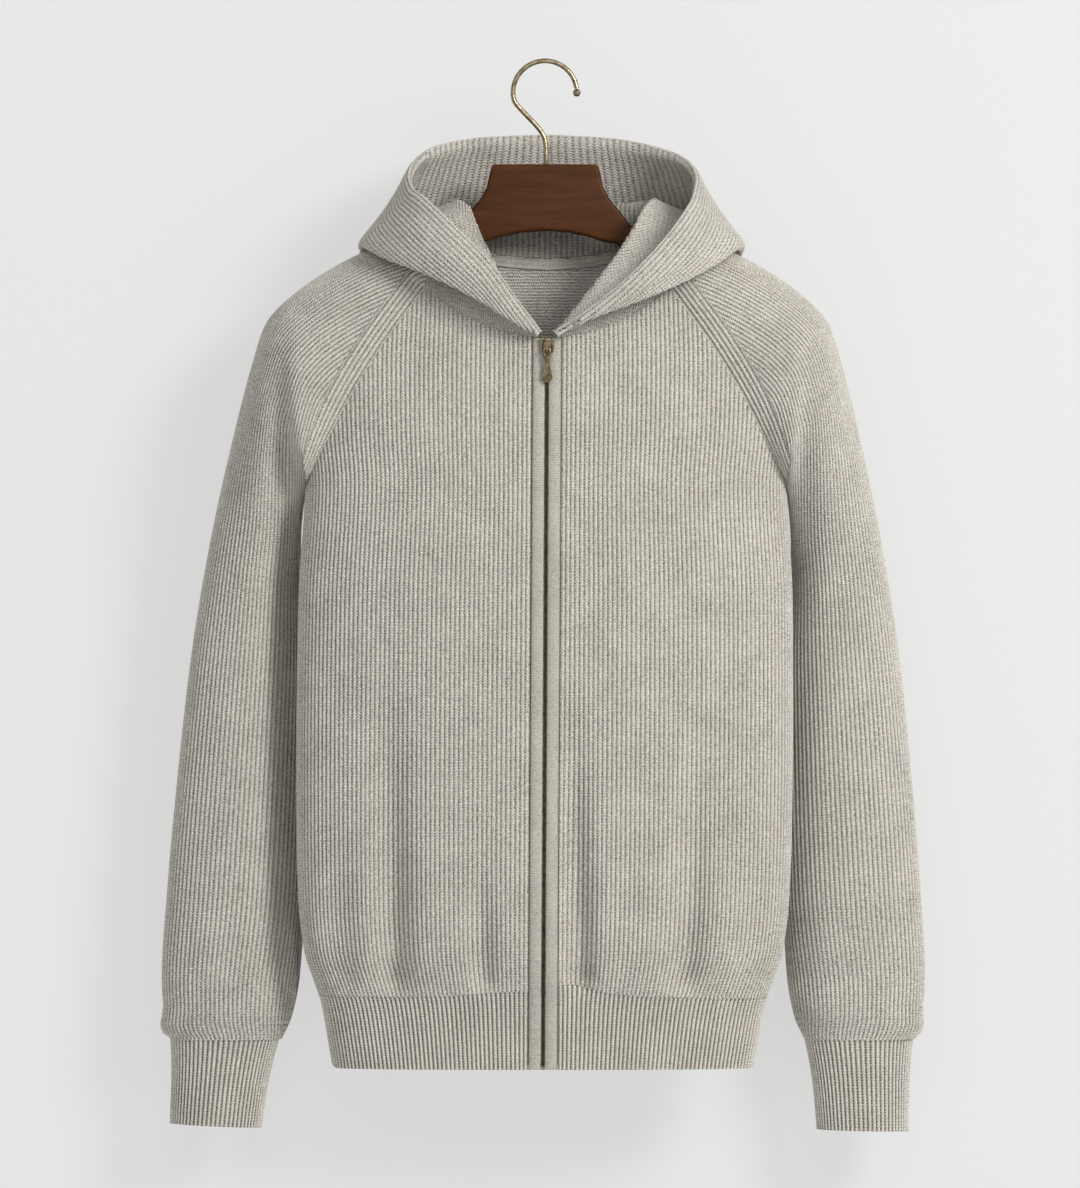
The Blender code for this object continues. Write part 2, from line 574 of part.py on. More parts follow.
def make_hanger(wood, metal, collection):
    half = hanger_outline()
    outline = half + [(-x, z) for x, z in half[-2:0:-1]]
    curve = bpy.data.curves.new("hanger_wood", "CURVE")
    curve.dimensions = "2D"
    curve.fill_mode = "BOTH"
    curve.extrude = WOOD_THICK / 2 * MM - 1.5 * MM
    curve.bevel_depth = 1.5 * MM
    curve.bevel_resolution = 0
    curve.offset = -1.5 * MM
    spline = curve.splines.new("POLY")
    spline.points.add(len(outline) - 1)
    for point, (x, z) in zip(spline.points, outline):
        point.co = (x * MM, z * MM, 0.0, 1.0)
    spline.use_cyclic_u = True
    made = add_object("hanger_wood", curve, wood, collection)
    made.rotation_euler = (math.pi / 2, 0, 0)
    made.location = (0, 4 * MM, 0)

    route = hook_route()
    wire = bpy.data.curves.new("hanger_hook", "CURVE")
    wire.dimensions = "3D"
    wire.bevel_depth = WIRE_R * MM
    wire.bevel_resolution = 2
    wire.use_fill_caps = True
    spline = wire.splines.new("POLY")
    spline.points.add(len(route) - 1)
    for point, (x, z) in zip(spline.points, route):
        point.co = (x * MM, 0.0, z * MM, 1.0)
    add_object("hanger_hook", wire, metal, collection)

    build = bmesh.new()
    bmesh.ops.create_uvsphere(build, u_segments=14, v_segments=9, radius=BALL_R * MM)
    ball = bpy.data.meshes.new("hook_ball")
    build.to_mesh(ball)
    build.free()
    ball.shade_smooth()
    end_x, end_z = route[0]
    made = add_object("hook_ball", ball, metal, collection)
    made.location = (end_x * MM, 0, (end_z - BALL_R - SEAM_GAP) * MM)


def hook_route():
    """The wire's middle from its free end over the top and down to the wood, (x, z)."""
    centre_z = WIRE_R - HOOK_R
    arc = [math.radians(a) for a in np.linspace(8, 196, 22)]
    route = [(HOOK_R * math.cos(a), centre_z + HOOK_R * math.sin(a)) for a in arc]
    bend = [(-22.5, -36.5), (-17.0, -42.5), (-9.5, -50.0), (-3.8, -56.5), (-0.8, -61.5), (0.6, -67.0), (1.0, -73.0)]
    return route + bend + [(1.0, BLOCK_TOP_Z + SEAM_GAP)]


def front_y(z):
    """The front's y on the centre line."""
    return float(column(BODY, "side_y", z) - column(BODY, "front", z))


def make_slider(metal, collection):
    """The cast slider body and the wire bail on its face; gives the face's y."""
    wide, thick, tall = SLIDER_SIZE
    cloth_y = front_y(SLIDER_Z - tall / 2) - SEAM_GAP
    box("zip_slider", (LEAN_TOP, cloth_y - thick / 2, SLIDER_Z), SLIDER_SIZE, metal, collection, 0.9)
    face = cloth_y - thick
    bail = bpy.data.curves.new("slider_bail", "CURVE")
    bail.dimensions = "3D"
    bail.bevel_depth = BAIL_R * MM
    bail.bevel_resolution = 1
    bail.use_fill_caps = True
    spline = bail.splines.new("POLY")
    arc = [math.radians(a) for a in np.linspace(90, 270, 7)]
    route = [(-SEAM_GAP, BAIL_RISE)]
    route += [(-BAIL_OUT + BAIL_RISE + BAIL_RISE * math.cos(a), BAIL_RISE * math.sin(a)) for a in arc]
    route += [(-SEAM_GAP, -BAIL_RISE)]
    spline.points.add(len(route) - 1)
    for point, (y, z) in zip(spline.points, route):
        point.co = (LEAN_TOP * MM, (face + y) * MM, (PIN_Z + z) * MM, 1.0)
    add_object("slider_bail", bail, metal, collection)
    return face


def make_pull(face, metal, collection):
    """The tab, whose top bar lies inside the bail; its origin is on the bar."""
    half_top, half_low, long = PULL_HALF_TOP, PULL_HALF_LOW, PULL_LONG
    low = [math.radians(a) for a in np.linspace(0, -180, 9)]
    outline = [(-half_top, BAR), (half_top, BAR), (half_top, -7.0), (half_low, -13.0)]
    outline += [(half_low * math.cos(a), -long + half_low + half_low * math.sin(a)) for a in low]
    outline += [(-half_low, -13.0), (-half_top, -7.0)]
    window = [(-1.7, -BAR), (1.7, -BAR), (1.7, -BAR - 5.6), (-1.7, -BAR - 5.6)]
    tab = bpy.data.curves.new("zip_pull", "CURVE")
    tab.dimensions = "2D"
    tab.fill_mode = "BOTH"
    tab.extrude = PULL_THICK / 2 * MM
    for points in (outline, window):
        spline = tab.splines.new("POLY")
        spline.points.add(len(points) - 1)
        for point, (x, z) in zip(spline.points, points):
            point.co = (x * MM, z * MM, 0.0, 1.0)
        spline.use_cyclic_u = True
    made = add_object("zip_pull", tab, metal, collection)
    made.rotation_euler = (math.pi / 2, 0, 0)
    made.location = (LEAN_TOP * MM, (face - BAR_OUT) * MM, PIN_Z * MM)


def main():
    for made in list(bpy.data.objects):
        bpy.data.objects.remove(made, do_unlink=True)
    collection = bpy.data.collections.new(NAME)
    bpy.context.scene.collection.children.link(collection)
    knit = material("knit", (0.52, 0.49, 0.44), 0.92)
    rib = material("rib_knit", (0.54, 0.51, 0.46), 0.92)
    plain = material("plain_knit", (0.55, 0.52, 0.47), 0.9)
    tape = material("zip_tape", (0.16, 0.15, 0.14), 0.85)
    metal = material("aged_brass", (0.42, 0.34, 0.22), 0.32, 1.0)
    wood = material("dark_wood", (0.09, 0.028, 0.012), 0.4)
    make_fronts(knit, rib, collection)
    make_back(knit, rib, collection)
    make_sleeves(knit, rib, collection)
    make_hood(knit, collection)
    make_front_edges(plain, tape, collection)
    make_neck_tape(plain, collection)
    make_pull(make_slider(metal, collection), metal, collection)
    make_hanger(wood, metal, collection)


main()
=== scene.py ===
"""The looks of a ribbed, hooded, zip-front cardigan on a wooden hanger.

The form functions work in mm, as the solids' own; meshes are in metres, +Z up, front towards -Y.
"""

from functools import partial
from math import cos, pi, radians, sin

import bmesh
import bpy
import numpy as np
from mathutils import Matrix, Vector


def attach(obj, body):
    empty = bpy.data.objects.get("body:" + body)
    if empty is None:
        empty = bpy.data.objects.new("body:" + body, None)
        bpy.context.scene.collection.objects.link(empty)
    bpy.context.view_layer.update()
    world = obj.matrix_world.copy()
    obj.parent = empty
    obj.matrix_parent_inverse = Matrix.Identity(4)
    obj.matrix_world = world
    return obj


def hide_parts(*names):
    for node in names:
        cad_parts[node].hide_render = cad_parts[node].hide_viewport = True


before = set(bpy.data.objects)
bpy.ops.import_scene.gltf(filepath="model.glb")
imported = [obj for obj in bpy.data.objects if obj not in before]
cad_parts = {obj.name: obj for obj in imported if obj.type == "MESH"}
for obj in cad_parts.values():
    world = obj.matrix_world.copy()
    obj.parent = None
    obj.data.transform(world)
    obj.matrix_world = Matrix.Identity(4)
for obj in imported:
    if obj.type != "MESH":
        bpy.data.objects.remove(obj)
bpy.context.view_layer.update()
MM = 0.001
SIDES = ((-1, "left"), (1, "right"))  # as the front shows them

# Driving dimensions, mm
CLOTH = 2.2  # wall of the body, sleeves and ribs
HOOD_CLOTH = 2.6  # wall of the hood
SEAM_GAP = 0.08  # between neighbouring pieces
SUPER = 2.4  # exponent of the body's rounded sections
ZIP_TOP_Z = -232.0
HEM_SEAM_Z = -784.0
HEM_Z = -845.0
ARMPIT_Z = -356.0
CUFF_SEAM_Z = -823.0
CUFF_Z = -893.0
PLACKET_IN = 1.5  # placket's inner edge from the centre
PLACKET_OUT = 12.4  # placket's outer edge from the centre
ZIP_TAPE = 11.0  # width of a half of the zip tape
LEAN_TOP = 1.7  # sideways shift at the zip's top
LEAN = 0.0058  # sideways shift for each mm further down

# The body's sections: half width, depth in front of and behind the side line, and that line's y
BODY = {
    "z": (-120, -163, -191, -239, -281, -317, -356, -452, -560, -640, -704, -746, -775, -790, -822, -845),
    "half_width": (215, 215, 215, 215, 212, 208, 203, 208, 209, 208.5, 206.5, 201.5, 192, 187, 181, 177),
    "front": (34, 38, 42, 50, 56, 60, 62, 64, 64, 64, 65, 66, 61, 55, 51, 50),
    "back": (44, 51, 54, 57, 59, 60, 60, 59, 58, 58, 58, 58, 55, 51, 48, 47),
    "side_y": (-6, -6, -6, -6, -6, -6, -6, -7, -8, -8, -8, -8, -8, -8, -8, -8),
}

# The raglan seams and the necklines, as seen from the front and from behind
RAGLAN = {
    "front": {"z": (-191, -239, -281, -317, -340, ARMPIT_Z), "x": (103, 138, 164, 183, 195, 203)},
    "back": {"z": (-150, -200, -250, -300, -335, ARMPIT_Z), "x": (82, 114, 144, 172, 192, 203)},
}
NECK = {
    "front": {"x": (8, 40, 63, 85, 103), "z": (-232, -226, -217, -204, -191)},
    "back": {"x": (0, 30, 55, 82), "z": (-163, -161, -157, -150)},
}

# The sleeve's ridge and underarm lines and half depth; t runs from the neck (0) to the cuff seam (1)
ARMPIT_T = 0.30
SLEEVE = {
    "t": (0.00, 0.06, 0.12, 0.18, 0.22, 0.26, 0.30, 0.34, 0.40, 0.55, 0.70, 0.85, 0.94, 0.975, 1.00),
    "ridge_x": (98, 135, 172, 212, 237, 249, 261, 269, 280, 298.5, 310, 318.5, 322.5, 320, 313),
    "ridge_y": (4, 6, 8, 9, 10, 12, 15, 19, 24, 30, 32, 32, 31, 30, 30),
    "ridge_z": (-139, -150, -167, -193, -219, -255, -300, -334, -385, -495, -600, -700, -771, -803, -822.6),
    "under_x": (203, 203, 203, 203, 203, 203, 203, 207.5, 206, 200, 200, 202, 206, 212, 220.6),
    "under_y": (-6, -6, -6, -6, -6, -6, -6, 13, 30, 37, 38, 36, 33, 31, 30),
    "under_z": (-356, -356, -356, -356, -356, -356, -356, -384, -428, -520, -612, -703, -772, -803, -822.6),
    "depth": (40, 42, 44, 46, 47, 47, 46, 43, 41, 40, 40, 39, 37, 34, 29),
}
CUFF = {
    "z": (CUFF_SEAM_Z, -835, -860, CUFF_Z),
    "outer_x": (312.8, 311.5, 310, 309.5),
    "inner_x": (220.8, 223.5, 228, 231.5),
    "depth": (28.6, 26.5, 25, 25),
}
CUFF_Y = 30.0

# The hood's lines round the neck; h is 0 at the back's middle and 1 at the zip.
# crest: inner fold above the neck seam. roll: outer fold. rim: the face edge.
# room: half the space inside the folds. swell: how far the outer layer bulges.
HOOD_H = (0.00, 0.18, 0.36, 0.46, 0.54, 0.62, 0.68, 0.76, 0.86, 0.94, 1.00)
# Each line has x and z on each side and one y for both.
CREST = {
    "y": (46, 44, 32, 14, -4, -20, -34, -48, -58, -62, -61),
    -1: {"x": (0, 42, 74, 83, 77, 67, 60, 50, 33, 16, 6),
         "z": (-122, -120, -116, -116, -115.5, -122, -138, -159, -192, -217, -229.5)},
    1: {"x": (0, 42, 77, 90, 89, 81, 73, 61, 40, 19, 6),
        "z": (-122, -120, -116, -116, -114, -122, -138, -159, -187, -213, -229.5)},
}
ROLL = {
    "y": (84, 84, 76, 55, 24, -14, -44, -70, -79, -75, -65),
    -1: {"x": (0, 72, 126, 148, 157, 155, 139, 104, 60, 29, 7),
         "z": (-302, -288, -236, -185, -156, -155, -164, -178, -200, -219.5, -230.5)},
    1: {"x": (0, 72, 128, 153, 164, 162, 143, 110, 71, 34, 8),
        "z": (-302, -288, -238, -186, -156.5, -155.5, -169, -187, -204, -218, -230.5)},
}
RIM = {
    "y": (62, 52, 22, -10, -36, -56, -68, -80, -85, -78, -66),
    -1: {"x": (0, 50, 92, 111, 116, 112, 104, 80, 50, 24, 4),
         "z": (-57.5, -60, -68.5, -82, -96, -108, -114, -137, -167, -202, -228)},
    1: {"x": (0, 52, 98, 119, 124, 121, 114, 98, 68, 34, 5),
        "z": (-57.5, -61, -72, -84.5, -98, -114, -127, -149, -181, -209, -228)},
}
HOOD_CURVE = {
    "h": HOOD_H,
    "room": (7.0, 7.0, 6.4, 5.2, 4.4, 4.4, 5.0, 5.4, 3.9, 2.2, 0.9),
    "swell": (11.0, 11.0, 8.5, 4.0, 1.5, 1.5, 4.5, 8.0, 5.5, 2.4, 0.0),
}
NECK_INSET = 2.2  # how far the hood stands inside the sleeves' neck edges
HOOD_SPLIT = 0.41  # where the side panels meet the centre panel
NECK_BACK_H = 0.36  # h where the back neck ends at the sleeve
NECK_FRONT_H = 0.68  # h where the front neck begins

FOLD_FULL = 35.0  # above the hem seam, where a fold is deepest
FOLD_FADE = 16.0  # above the hem seam, where it starts to fade into it
# Each fold: side, middle at the hem seam, lean, half width, depth, highest point
FOLDS = {
    "front": ((-1, 124, 0.03, 15, 18.0, -470), (-1, 50, 0.04, 11, 11.0, -660), (-1, 165, 0.08, 15, 7.0, -610),
              (1, 32, -0.05, 12, 18.0, -480), (1, 117, 0.05, 15, 15.0, -520), (1, 172, 0.06, 14, 6.5, -630)),
    "back": ((-1, 120, 0.02, 18, 4.6, -560), (-1, 40, 0.05, 15, 3.4, -640), (1, 74, -0.02, 17, 4.8, -590),
             (1, 150, 0.05, 16, 3.2, -620)),
}

# Hanger, mm
WOOD_THICK = 13.0
WOOD_BEVEL = 3.2
ARM_END_X = 210.0
ARM_DROP = 5.8  # arm's top below the shoulder ridge, which clears the cloth's wall
BLOCK_TOP_Z = -85.0
WIRE_R = 2.1
HOOK_R = 27.0  # to the wire's middle
RIDGE_CARRY = 1.35  # how much steeper the wood rises inside the neck than the shoulder ridge

# Slider and pull, mm
SLIDER_Z = -241.0
SLIDER_SIZE = (6.8, 3.4, 17.0)
PIN_Z = -242.0  # the pull's axis
BAR = 0.7  # half the pull's top bar
BAR_OUT = 2.5  # bar's middle from the slider's face
PULL_THICK = 1.4
PULL_LONG = 28.0


def hermite(u, start, end, slope_in, slope_out, step=1.0):
    """Cubic between two values with the given slopes, u from 0 to 1."""
    h00 = (1 + 2 * u) * (1 - u) ** 2
    h10 = u * (1 - u) ** 2
    h01 = u * u * (3 - 2 * u)
    h11 = u * u * (u - 1)
    return h00 * start + h10 * step * slope_in + h01 * end + h11 * step * slope_out


def column(table, name, at, key="z"):
    """Monotone cubic through one column of a table, at the given keys."""
    xs = np.asarray(table[key], float)
    ys = np.asarray(table[name], float)
    if xs[0] > xs[-1]:
        xs, ys = xs[::-1], ys[::-1]
    step = np.diff(xs)
    slope = np.diff(ys) / step
    same = slope[:-1] * slope[1:] > 0
    inner = np.zeros(len(xs) - 2)
    inner[same] = 2 * slope[:-1][same] * slope[1:][same] / (slope[:-1][same] + slope[1:][same])
    tangent = np.concatenate(([slope[0]], inner, [slope[-1]]))
    at = np.clip(np.asarray(at, float), xs[0], xs[-1])
    i = np.clip(np.searchsorted(xs, at, side="right") - 1, 0, len(xs) - 2)
    return hermite((at - xs[i]) / step[i], ys[i], ys[i + 1], tangent[i], tangent[i + 1], step[i])


ANGLES = np.linspace(0, pi / 2, 61)
BULGE = 2 / SUPER


def quarter(face, z):
    """Half width and depth at heights z, and the arc lengths at ANGLES."""
    wide = column(BODY, "half_width", z)[..., None]
    deep = column(BODY, face, z)[..., None]
    xs = wide * np.sin(ANGLES) ** BULGE
    ys = deep * np.cos(ANGLES) ** BULGE
    steps = np.hypot(np.diff(xs), np.diff(ys))
    return wide[..., 0], deep[..., 0], np.concatenate((np.zeros_like(wide), np.cumsum(steps, -1)), -1)


def fold_depth(face, x, z):
    """How far the soft folds push the cloth in; x is signed."""
    depth = np.zeros(np.broadcast(x, z).shape)
    for side, low_x, lean, half, deep, top in FOLDS[face]:
        across = np.exp(-((x - side * (low_x + lean * (z - HEM_SEAM_Z))) / half) ** 2)
        rise = np.clip((top - z) / (top - HEM_SEAM_Z - FOLD_FULL), 0, 1)
        fade = np.clip((z - HEM_SEAM_Z) / FOLD_FADE, 0, 1)
        depth += deep * across * rise * rise * (3 - 2 * rise) * fade
    return depth


def place(points, side):
    """Mirrors a half form to its side and adds the lean."""
    points = np.array(points)
    points[..., 0] = side * points[..., 0] + LEAN_TOP + LEAN * (points[..., 2] - ZIP_TOP_Z)
    return points


def around(lengths, i):
    """The arc lengths before and after each place i."""
    return (np.take_along_axis(lengths, i[..., None] + k, -1)[..., 0] for k in (0, 1))


def body_at(face, side, arc, z):
    """Points on the body at arc lengths from the centre line, on one side."""
    arc, z = np.broadcast_arrays(arc, z)
    wide, deep, lengths = quarter(face, z)
    arc = np.clip(arc, 0, lengths[..., -1])
    i = np.clip((lengths <= arc[..., None]).sum(-1) - 1, 0, len(ANGLES) - 2)
    low, high = around(lengths, i)
    angle = ANGLES[i] + (ANGLES[1] - ANGLES[0]) * (arc - low) / (high - low)
    x = wide * np.sin(angle) ** BULGE
    depth = deep * np.cos(np.minimum(angle, pi / 2)) ** BULGE - fold_depth(face, side * x, z)
    y = column(BODY, "side_y", z) + (-1 if face == "front" else 1) * depth
    return place(np.stack((x, y, z), -1), side)


def arc_to(face, x, z):
    """Arc length from the centre line to distance x."""
    wide, _, lengths = quarter(face, z)
    spot = np.arcsin(np.clip(x / wide, 0, 1) ** (1 / BULGE)) / (ANGLES[1] - ANGLES[0])
    i = np.clip(spot.astype(int), 0, len(ANGLES) - 2)
    low, high = around(lengths, i)
    return low + (high - low) * (spot - i)


def whole_arc(face, z):
    """Arc length from the centre line to the side."""
    return quarter(face, np.asarray(z, float))[2][..., -1]


def raglan(face, s):
    """Distance x and height z on a raglan seam, s from the neck (0) to the armpit (1)."""
    top = RAGLAN[face]["z"][0]
    z = top + (ARMPIT_Z - top) * s
    return column(RAGLAN[face], "x", z), z


def seam_point(face, side, s):
    """Points on a raglan seam."""
    x, z = raglan(face, s)
    return body_at(face, side, arc_to(face, x, z), z)


def neckline(face, v):
    """Distance x and height z on a neckline, v from the centre (0) to the raglan seam (1)."""
    xs = NECK[face]["x"]
    x = xs[0] + (xs[-1] - xs[0]) * v
    return x, column(NECK[face], "z", x, "x")


def bezier(a, b, c, d, u):
    """Cubic from a to d; a..d are (rows, 3), u is (columns,)."""
    u = u[None, :, None]
    a, b, c, d = (p[:, None, :] for p in (a, b, c, d))
    return (1 - u) ** 3 * a + 3 * u * (1 - u) ** 2 * b + 3 * u * u * (1 - u) * c + u ** 3 * d


def unit(v):
    return v / np.linalg.norm(v, axis=-1, keepdims=True)


def sleeve(side, ts, us):
    """Grid of a sleeve: rows down its length, columns from the front seam over the ridge to the back seam."""
    ts = np.asarray(ts, float)
    ridge, under = (np.stack([column(SLEEVE, line + k, ts, "t") for k in "xyz"], -1)
                    for line in ("ridge_", "under_"))
    depth = column(SLEEVE, "depth", ts, "t")[:, None]
    s = np.clip(ts / ARMPIT_T, 0, 1)
    cap = (ts < ARMPIT_T)[:, None]
    halves = []
    for face, forward in (("front", -1.0), ("back", 1.0)):
        seam = seam_point(face, 1, s)
        seam[:, 0] -= LEAN_TOP + LEAN * (seam[:, 2] - ZIP_TOP_Z)
        edge = np.where(cap, seam, under)
        out = np.array((0.0, forward, 0.0))
        across = ridge - edge
        flat = unit(across * np.array((1.0, 0.0, 1.0)))
        turn = np.clip(0.12 + 0.88 * s ** 3, 0, 1)[:, None]
        start = unit(flat * (1 - turn) + out * turn)
        reach = np.linalg.norm(across, axis=-1, keepdims=True)
        tube = 4 / 3 * depth
        pull = np.where(cap, 0.36 * reach * (1 - turn) + tube * turn, tube)
        hold = np.where(cap, 0.42 * reach * (1 - turn) + tube * turn, tube)
        edge = edge + start * 2 * SEAM_GAP
        halves.append(bezier(edge, edge + start * pull, ridge + out * hold, ridge, us))
    front, back = halves
    grid = np.concatenate((front, back[:, -2::-1]), 1)
    return place(grid, side)


def cuff(side, zs, angles):
    """Rings of a cuff, each starting at the inner edge and going round by the front."""
    outer, inner, depth = (column(CUFF, name, zs)[:, None] for name in ("outer_x", "inner_x", "depth"))
    x = (outer + inner) / 2 - (outer - inner) / 2 * np.cos(angles)
    y = CUFF_Y - depth * np.sin(angles)
    return place(np.stack((x, y, np.broadcast_to(zs[:, None], x.shape)), -1), side)


def neck_ring(side, h):
    """Points on the neck seam, h from the back's middle (0) to the zip (1)."""
    back = neckline("back", np.clip(h / NECK_BACK_H, 0, 1))
    front = neckline("front", np.clip((1 - h) / (1 - NECK_FRONT_H), 0, 1))
    on_back = body_at("back", side, arc_to("back", *back), back[1])
    on_front = body_at("front", side, arc_to("front", *front), front[1])
    over = np.clip((h - NECK_BACK_H) / (NECK_FRONT_H - NECK_BACK_H), 0, 1)
    top = sleeve(side, (0.0,), np.linspace(0, 1, 17))[0]
    spot = np.linspace(1, 0, len(top))
    on_sleeve = np.stack([np.interp(over, spot[::-1], top[::-1, k]) for k in range(3)], -1)
    on_sleeve[:, 0] -= side * NECK_INSET * np.sin(pi * np.clip(over, 0.12, 0.88))
    ring = np.where((h <= NECK_BACK_H)[:, None], on_back, on_sleeve)
    ring = np.where((h >= NECK_FRONT_H)[:, None], on_front, ring)
    return ring + np.array((0.0, 0.0, 3 * SEAM_GAP))


def hood_line(table, side, h):
    """Points on one of the hood's lines."""
    rows = dict(table[side], y=table["y"], h=HOOD_H)
    return place(np.stack([column(rows, k, h, "h") for k in "xyz"], -1), side)


def hood(side, hs, steps):
    """Grid of the hood: rows round the neck, columns from the neck seam over crest and roll to the rim."""
    neck = neck_ring(side, hs)
    crest, roll, rim = (hood_line(table, side, hs) for table in (CREST, ROLL, RIM))
    out = roll - crest
    out[:, 2] = 0
    out = unit(out + np.array((0.0, 1e-6, 0.0)))
    near = np.clip((1 - hs) / 0.28, 0, 1)[:, None]
    room, swell = (column(HOOD_CURVE, name, hs, "h")[:, None] for name in ("room", "swell"))
    up = np.array((0.0, 0.0, 1.0))
    band = unit(rim - roll)
    turn = unit(np.cross(np.cross(band, out), band))
    line = np.stack((
        neck,
        (neck + crest) / 2 - out * room * 0.2,
        crest,
        crest + out * room * 1.3 - up * room * 0.8,
        (crest + roll) / 2 + out * room * 0.8 * near + up * room * 0.5 * near,
        roll - out * room * 0.9 + up * room * 0.1 + band * room * 0.2,
        roll,
        roll + band * room * 1.7 + turn * room * 0.9,
        (roll + rim) / 2 + turn * swell,
        rim + (roll - rim) * 0.12 + turn * room * 0.25,
        rim,
    ), 1)
    return curve_through(line, steps)


def curve_through(line, steps):
    """Catmull-Rom through line, (rows, points, 3), at steps from 0 to points - 1."""
    last = line.shape[1] - 1
    i = np.clip(np.floor(steps).astype(int), 0, last - 1)
    before, start, end, after = (line[:, np.clip(i + k, 0, last)] for k in (-1, 0, 1, 2))
    return hermite((steps - i)[None, :, None], start, end, (end - before) / 2, (after - start) / 2)


def strip(side, near, far, zs, inward, across=1):
    """Grid of a strip down a front, between two distances from the centre line, moved in from the cloth."""
    grid = body_at("front", side, np.linspace(near, far, across + 1)[None, :], zs[:, None])
    grid[..., 1] += inward
    return grid


def ridge_z(x):
    """The shoulder ridge's height at distance x, and the same slope carried on towards the neck."""
    table = {"x": SLEEVE["ridge_x"][:4], "z": SLEEVE["ridge_z"][:4]}
    across, rise = (table[k][1] - table[k][0] for k in "xz")
    inside = np.minimum(x - table["x"][0], 0) * rise / across
    return column(table, "z", x, "x") + inside * RIDGE_CARRY


def hanger_outline():
    """Half outline of the hanger's wood, top edge out and bottom edge back, (x, z)."""
    block = [(0, BLOCK_TOP_Z), (42, BLOCK_TOP_Z), (45, -86.5), (46.5, -92), (49, -104), (54, -114),
             (61, -122)]
    xs = np.linspace(72, ARM_END_X, 9)
    top = [(x, float(ridge_z(x)) - ARM_DROP - CLOTH) for x in xs]
    tip = [(ARM_END_X + 4, top[-1][1] - 5), (ARM_END_X + 4, top[-1][1] - 11)]
    height = np.interp(xs, (72, ARM_END_X), (27, 16))
    bottom = [(x, z - h) for (x, z), h in zip(top, height)][::-1]
    arch = [(60, -152), (50, -150.5), (36, -146), (20, -142.5), (0, -141)]
    return block + top + tip + bottom + arch


def hook_route():
    """The wire's middle from its free end over the top and down to the wood, (x, z)."""
    centre_z = WIRE_R - HOOK_R
    arc = [radians(a) for a in np.linspace(8, 196, 22)]
    route = [(HOOK_R * cos(a), centre_z + HOOK_R * sin(a)) for a in arc]
    bend = [(-22.5, -36.5), (-17.0, -42.5), (-9.5, -50.0), (-3.8, -56.5), (-0.8, -61.5), (0.6, -67.0),
            (1.0, -73.0)]
    return route + bend + [(1.0, BLOCK_TOP_Z + SEAM_GAP)]


# Knitted surfaces

def unit_normals(grid, close=False):
    """Unit normals of a grid of points."""
    if close:
        across = np.roll(grid, -1, 1) - np.roll(grid, 1, 1)
    else:
        across = np.gradient(grid, axis=1)
    normal = np.cross(across, np.gradient(grid, axis=0))
    length = np.linalg.norm(normal, axis=-1, keepdims=True)
    return np.where(length > 1e-9, normal / np.maximum(length, 1e-9), 0)


EDGE_HEIGHT = 0.97  # how far a rib's groove is filled where the piece is sewn
RIM_ANGLE = 84  # degrees; edges sharper than this aren't shaded smooth
RIB_SHARP = 2.6  # how narrow the grooves between the ribs are
BACK_RELIEF = 0.45  # the inner face's relief, as a share of the outer's
PURL = 1000.0  # added to U where a surface is the knit's reverse side


def cord(phase):
    """Height of a rib from its groove (0) to its crest (1); phase counts ribs."""
    return 1 - np.abs(np.cos(pi * phase)) ** RIB_SHARP


def lengths(grid, axis):
    """Running length along one axis of a grid."""
    steps = np.linalg.norm(np.diff(grid, axis=axis), axis=-1)
    first = np.zeros_like(np.take(grid[..., 0], [0], axis))
    return np.concatenate((first, np.cumsum(steps, axis)), axis)


def weld_close(mesh):
    """Joins points that lie together and drops the faces that collapse."""
    work = bmesh.new()
    work.from_mesh(mesh)
    bmesh.ops.remove_doubles(work, verts=work.verts, dist=0.02 * MM)
    bmesh.ops.dissolve_degenerate(work, dist=0.002 * MM, edges=work.edges)
    work.to_mesh(mesh)
    work.free()


def shade(mesh, sharp):
    """Shades a mesh smooth, except over edges sharper than an angle in degrees."""
    mesh.shade_smooth()
    mesh.set_sharp_from_angle(angle=radians(sharp))


def new_object(name, data):
    made = bpy.data.objects.new(name, data)
    bpy.context.collection.objects.link(made)
    return made


def mesh_from(name, verts, faces, uv=None, weld=False):
    """A smooth quad mesh from arrays in mm; uv is one pair for each vertex."""
    mesh = bpy.data.meshes.new(name)
    mesh.vertices.add(len(verts))
    mesh.vertices.foreach_set("co", (verts * MM).astype(np.float32).ravel())
    mesh.loops.add(faces.size)
    mesh.loops.foreach_set("vertex_index", faces.astype(np.int32).ravel())
    mesh.polygons.add(len(faces))
    mesh.polygons.foreach_set("loop_start", np.arange(0, faces.size, 4, dtype=np.int32))
    mesh.update(calc_edges=True)
    if uv is not None:
        layer = mesh.uv_layers.new(name="UVMap")
        layer.data.foreach_set("uv", uv[faces.ravel()].astype(np.float32).ravel())
    if weld:
        weld_close(mesh)
    mesh.validate()
    shade(mesh, RIM_ANGLE)
    return mesh


def add_piece(name, mesh, finish, body, nodes):
    """Links a finished piece, rides it on a body and lets it stand for its CAD nodes."""
    made = new_object(name, mesh)
    mesh.materials.append(finish)
    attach(made, body)
    if nodes:
        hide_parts(*nodes)
    return made


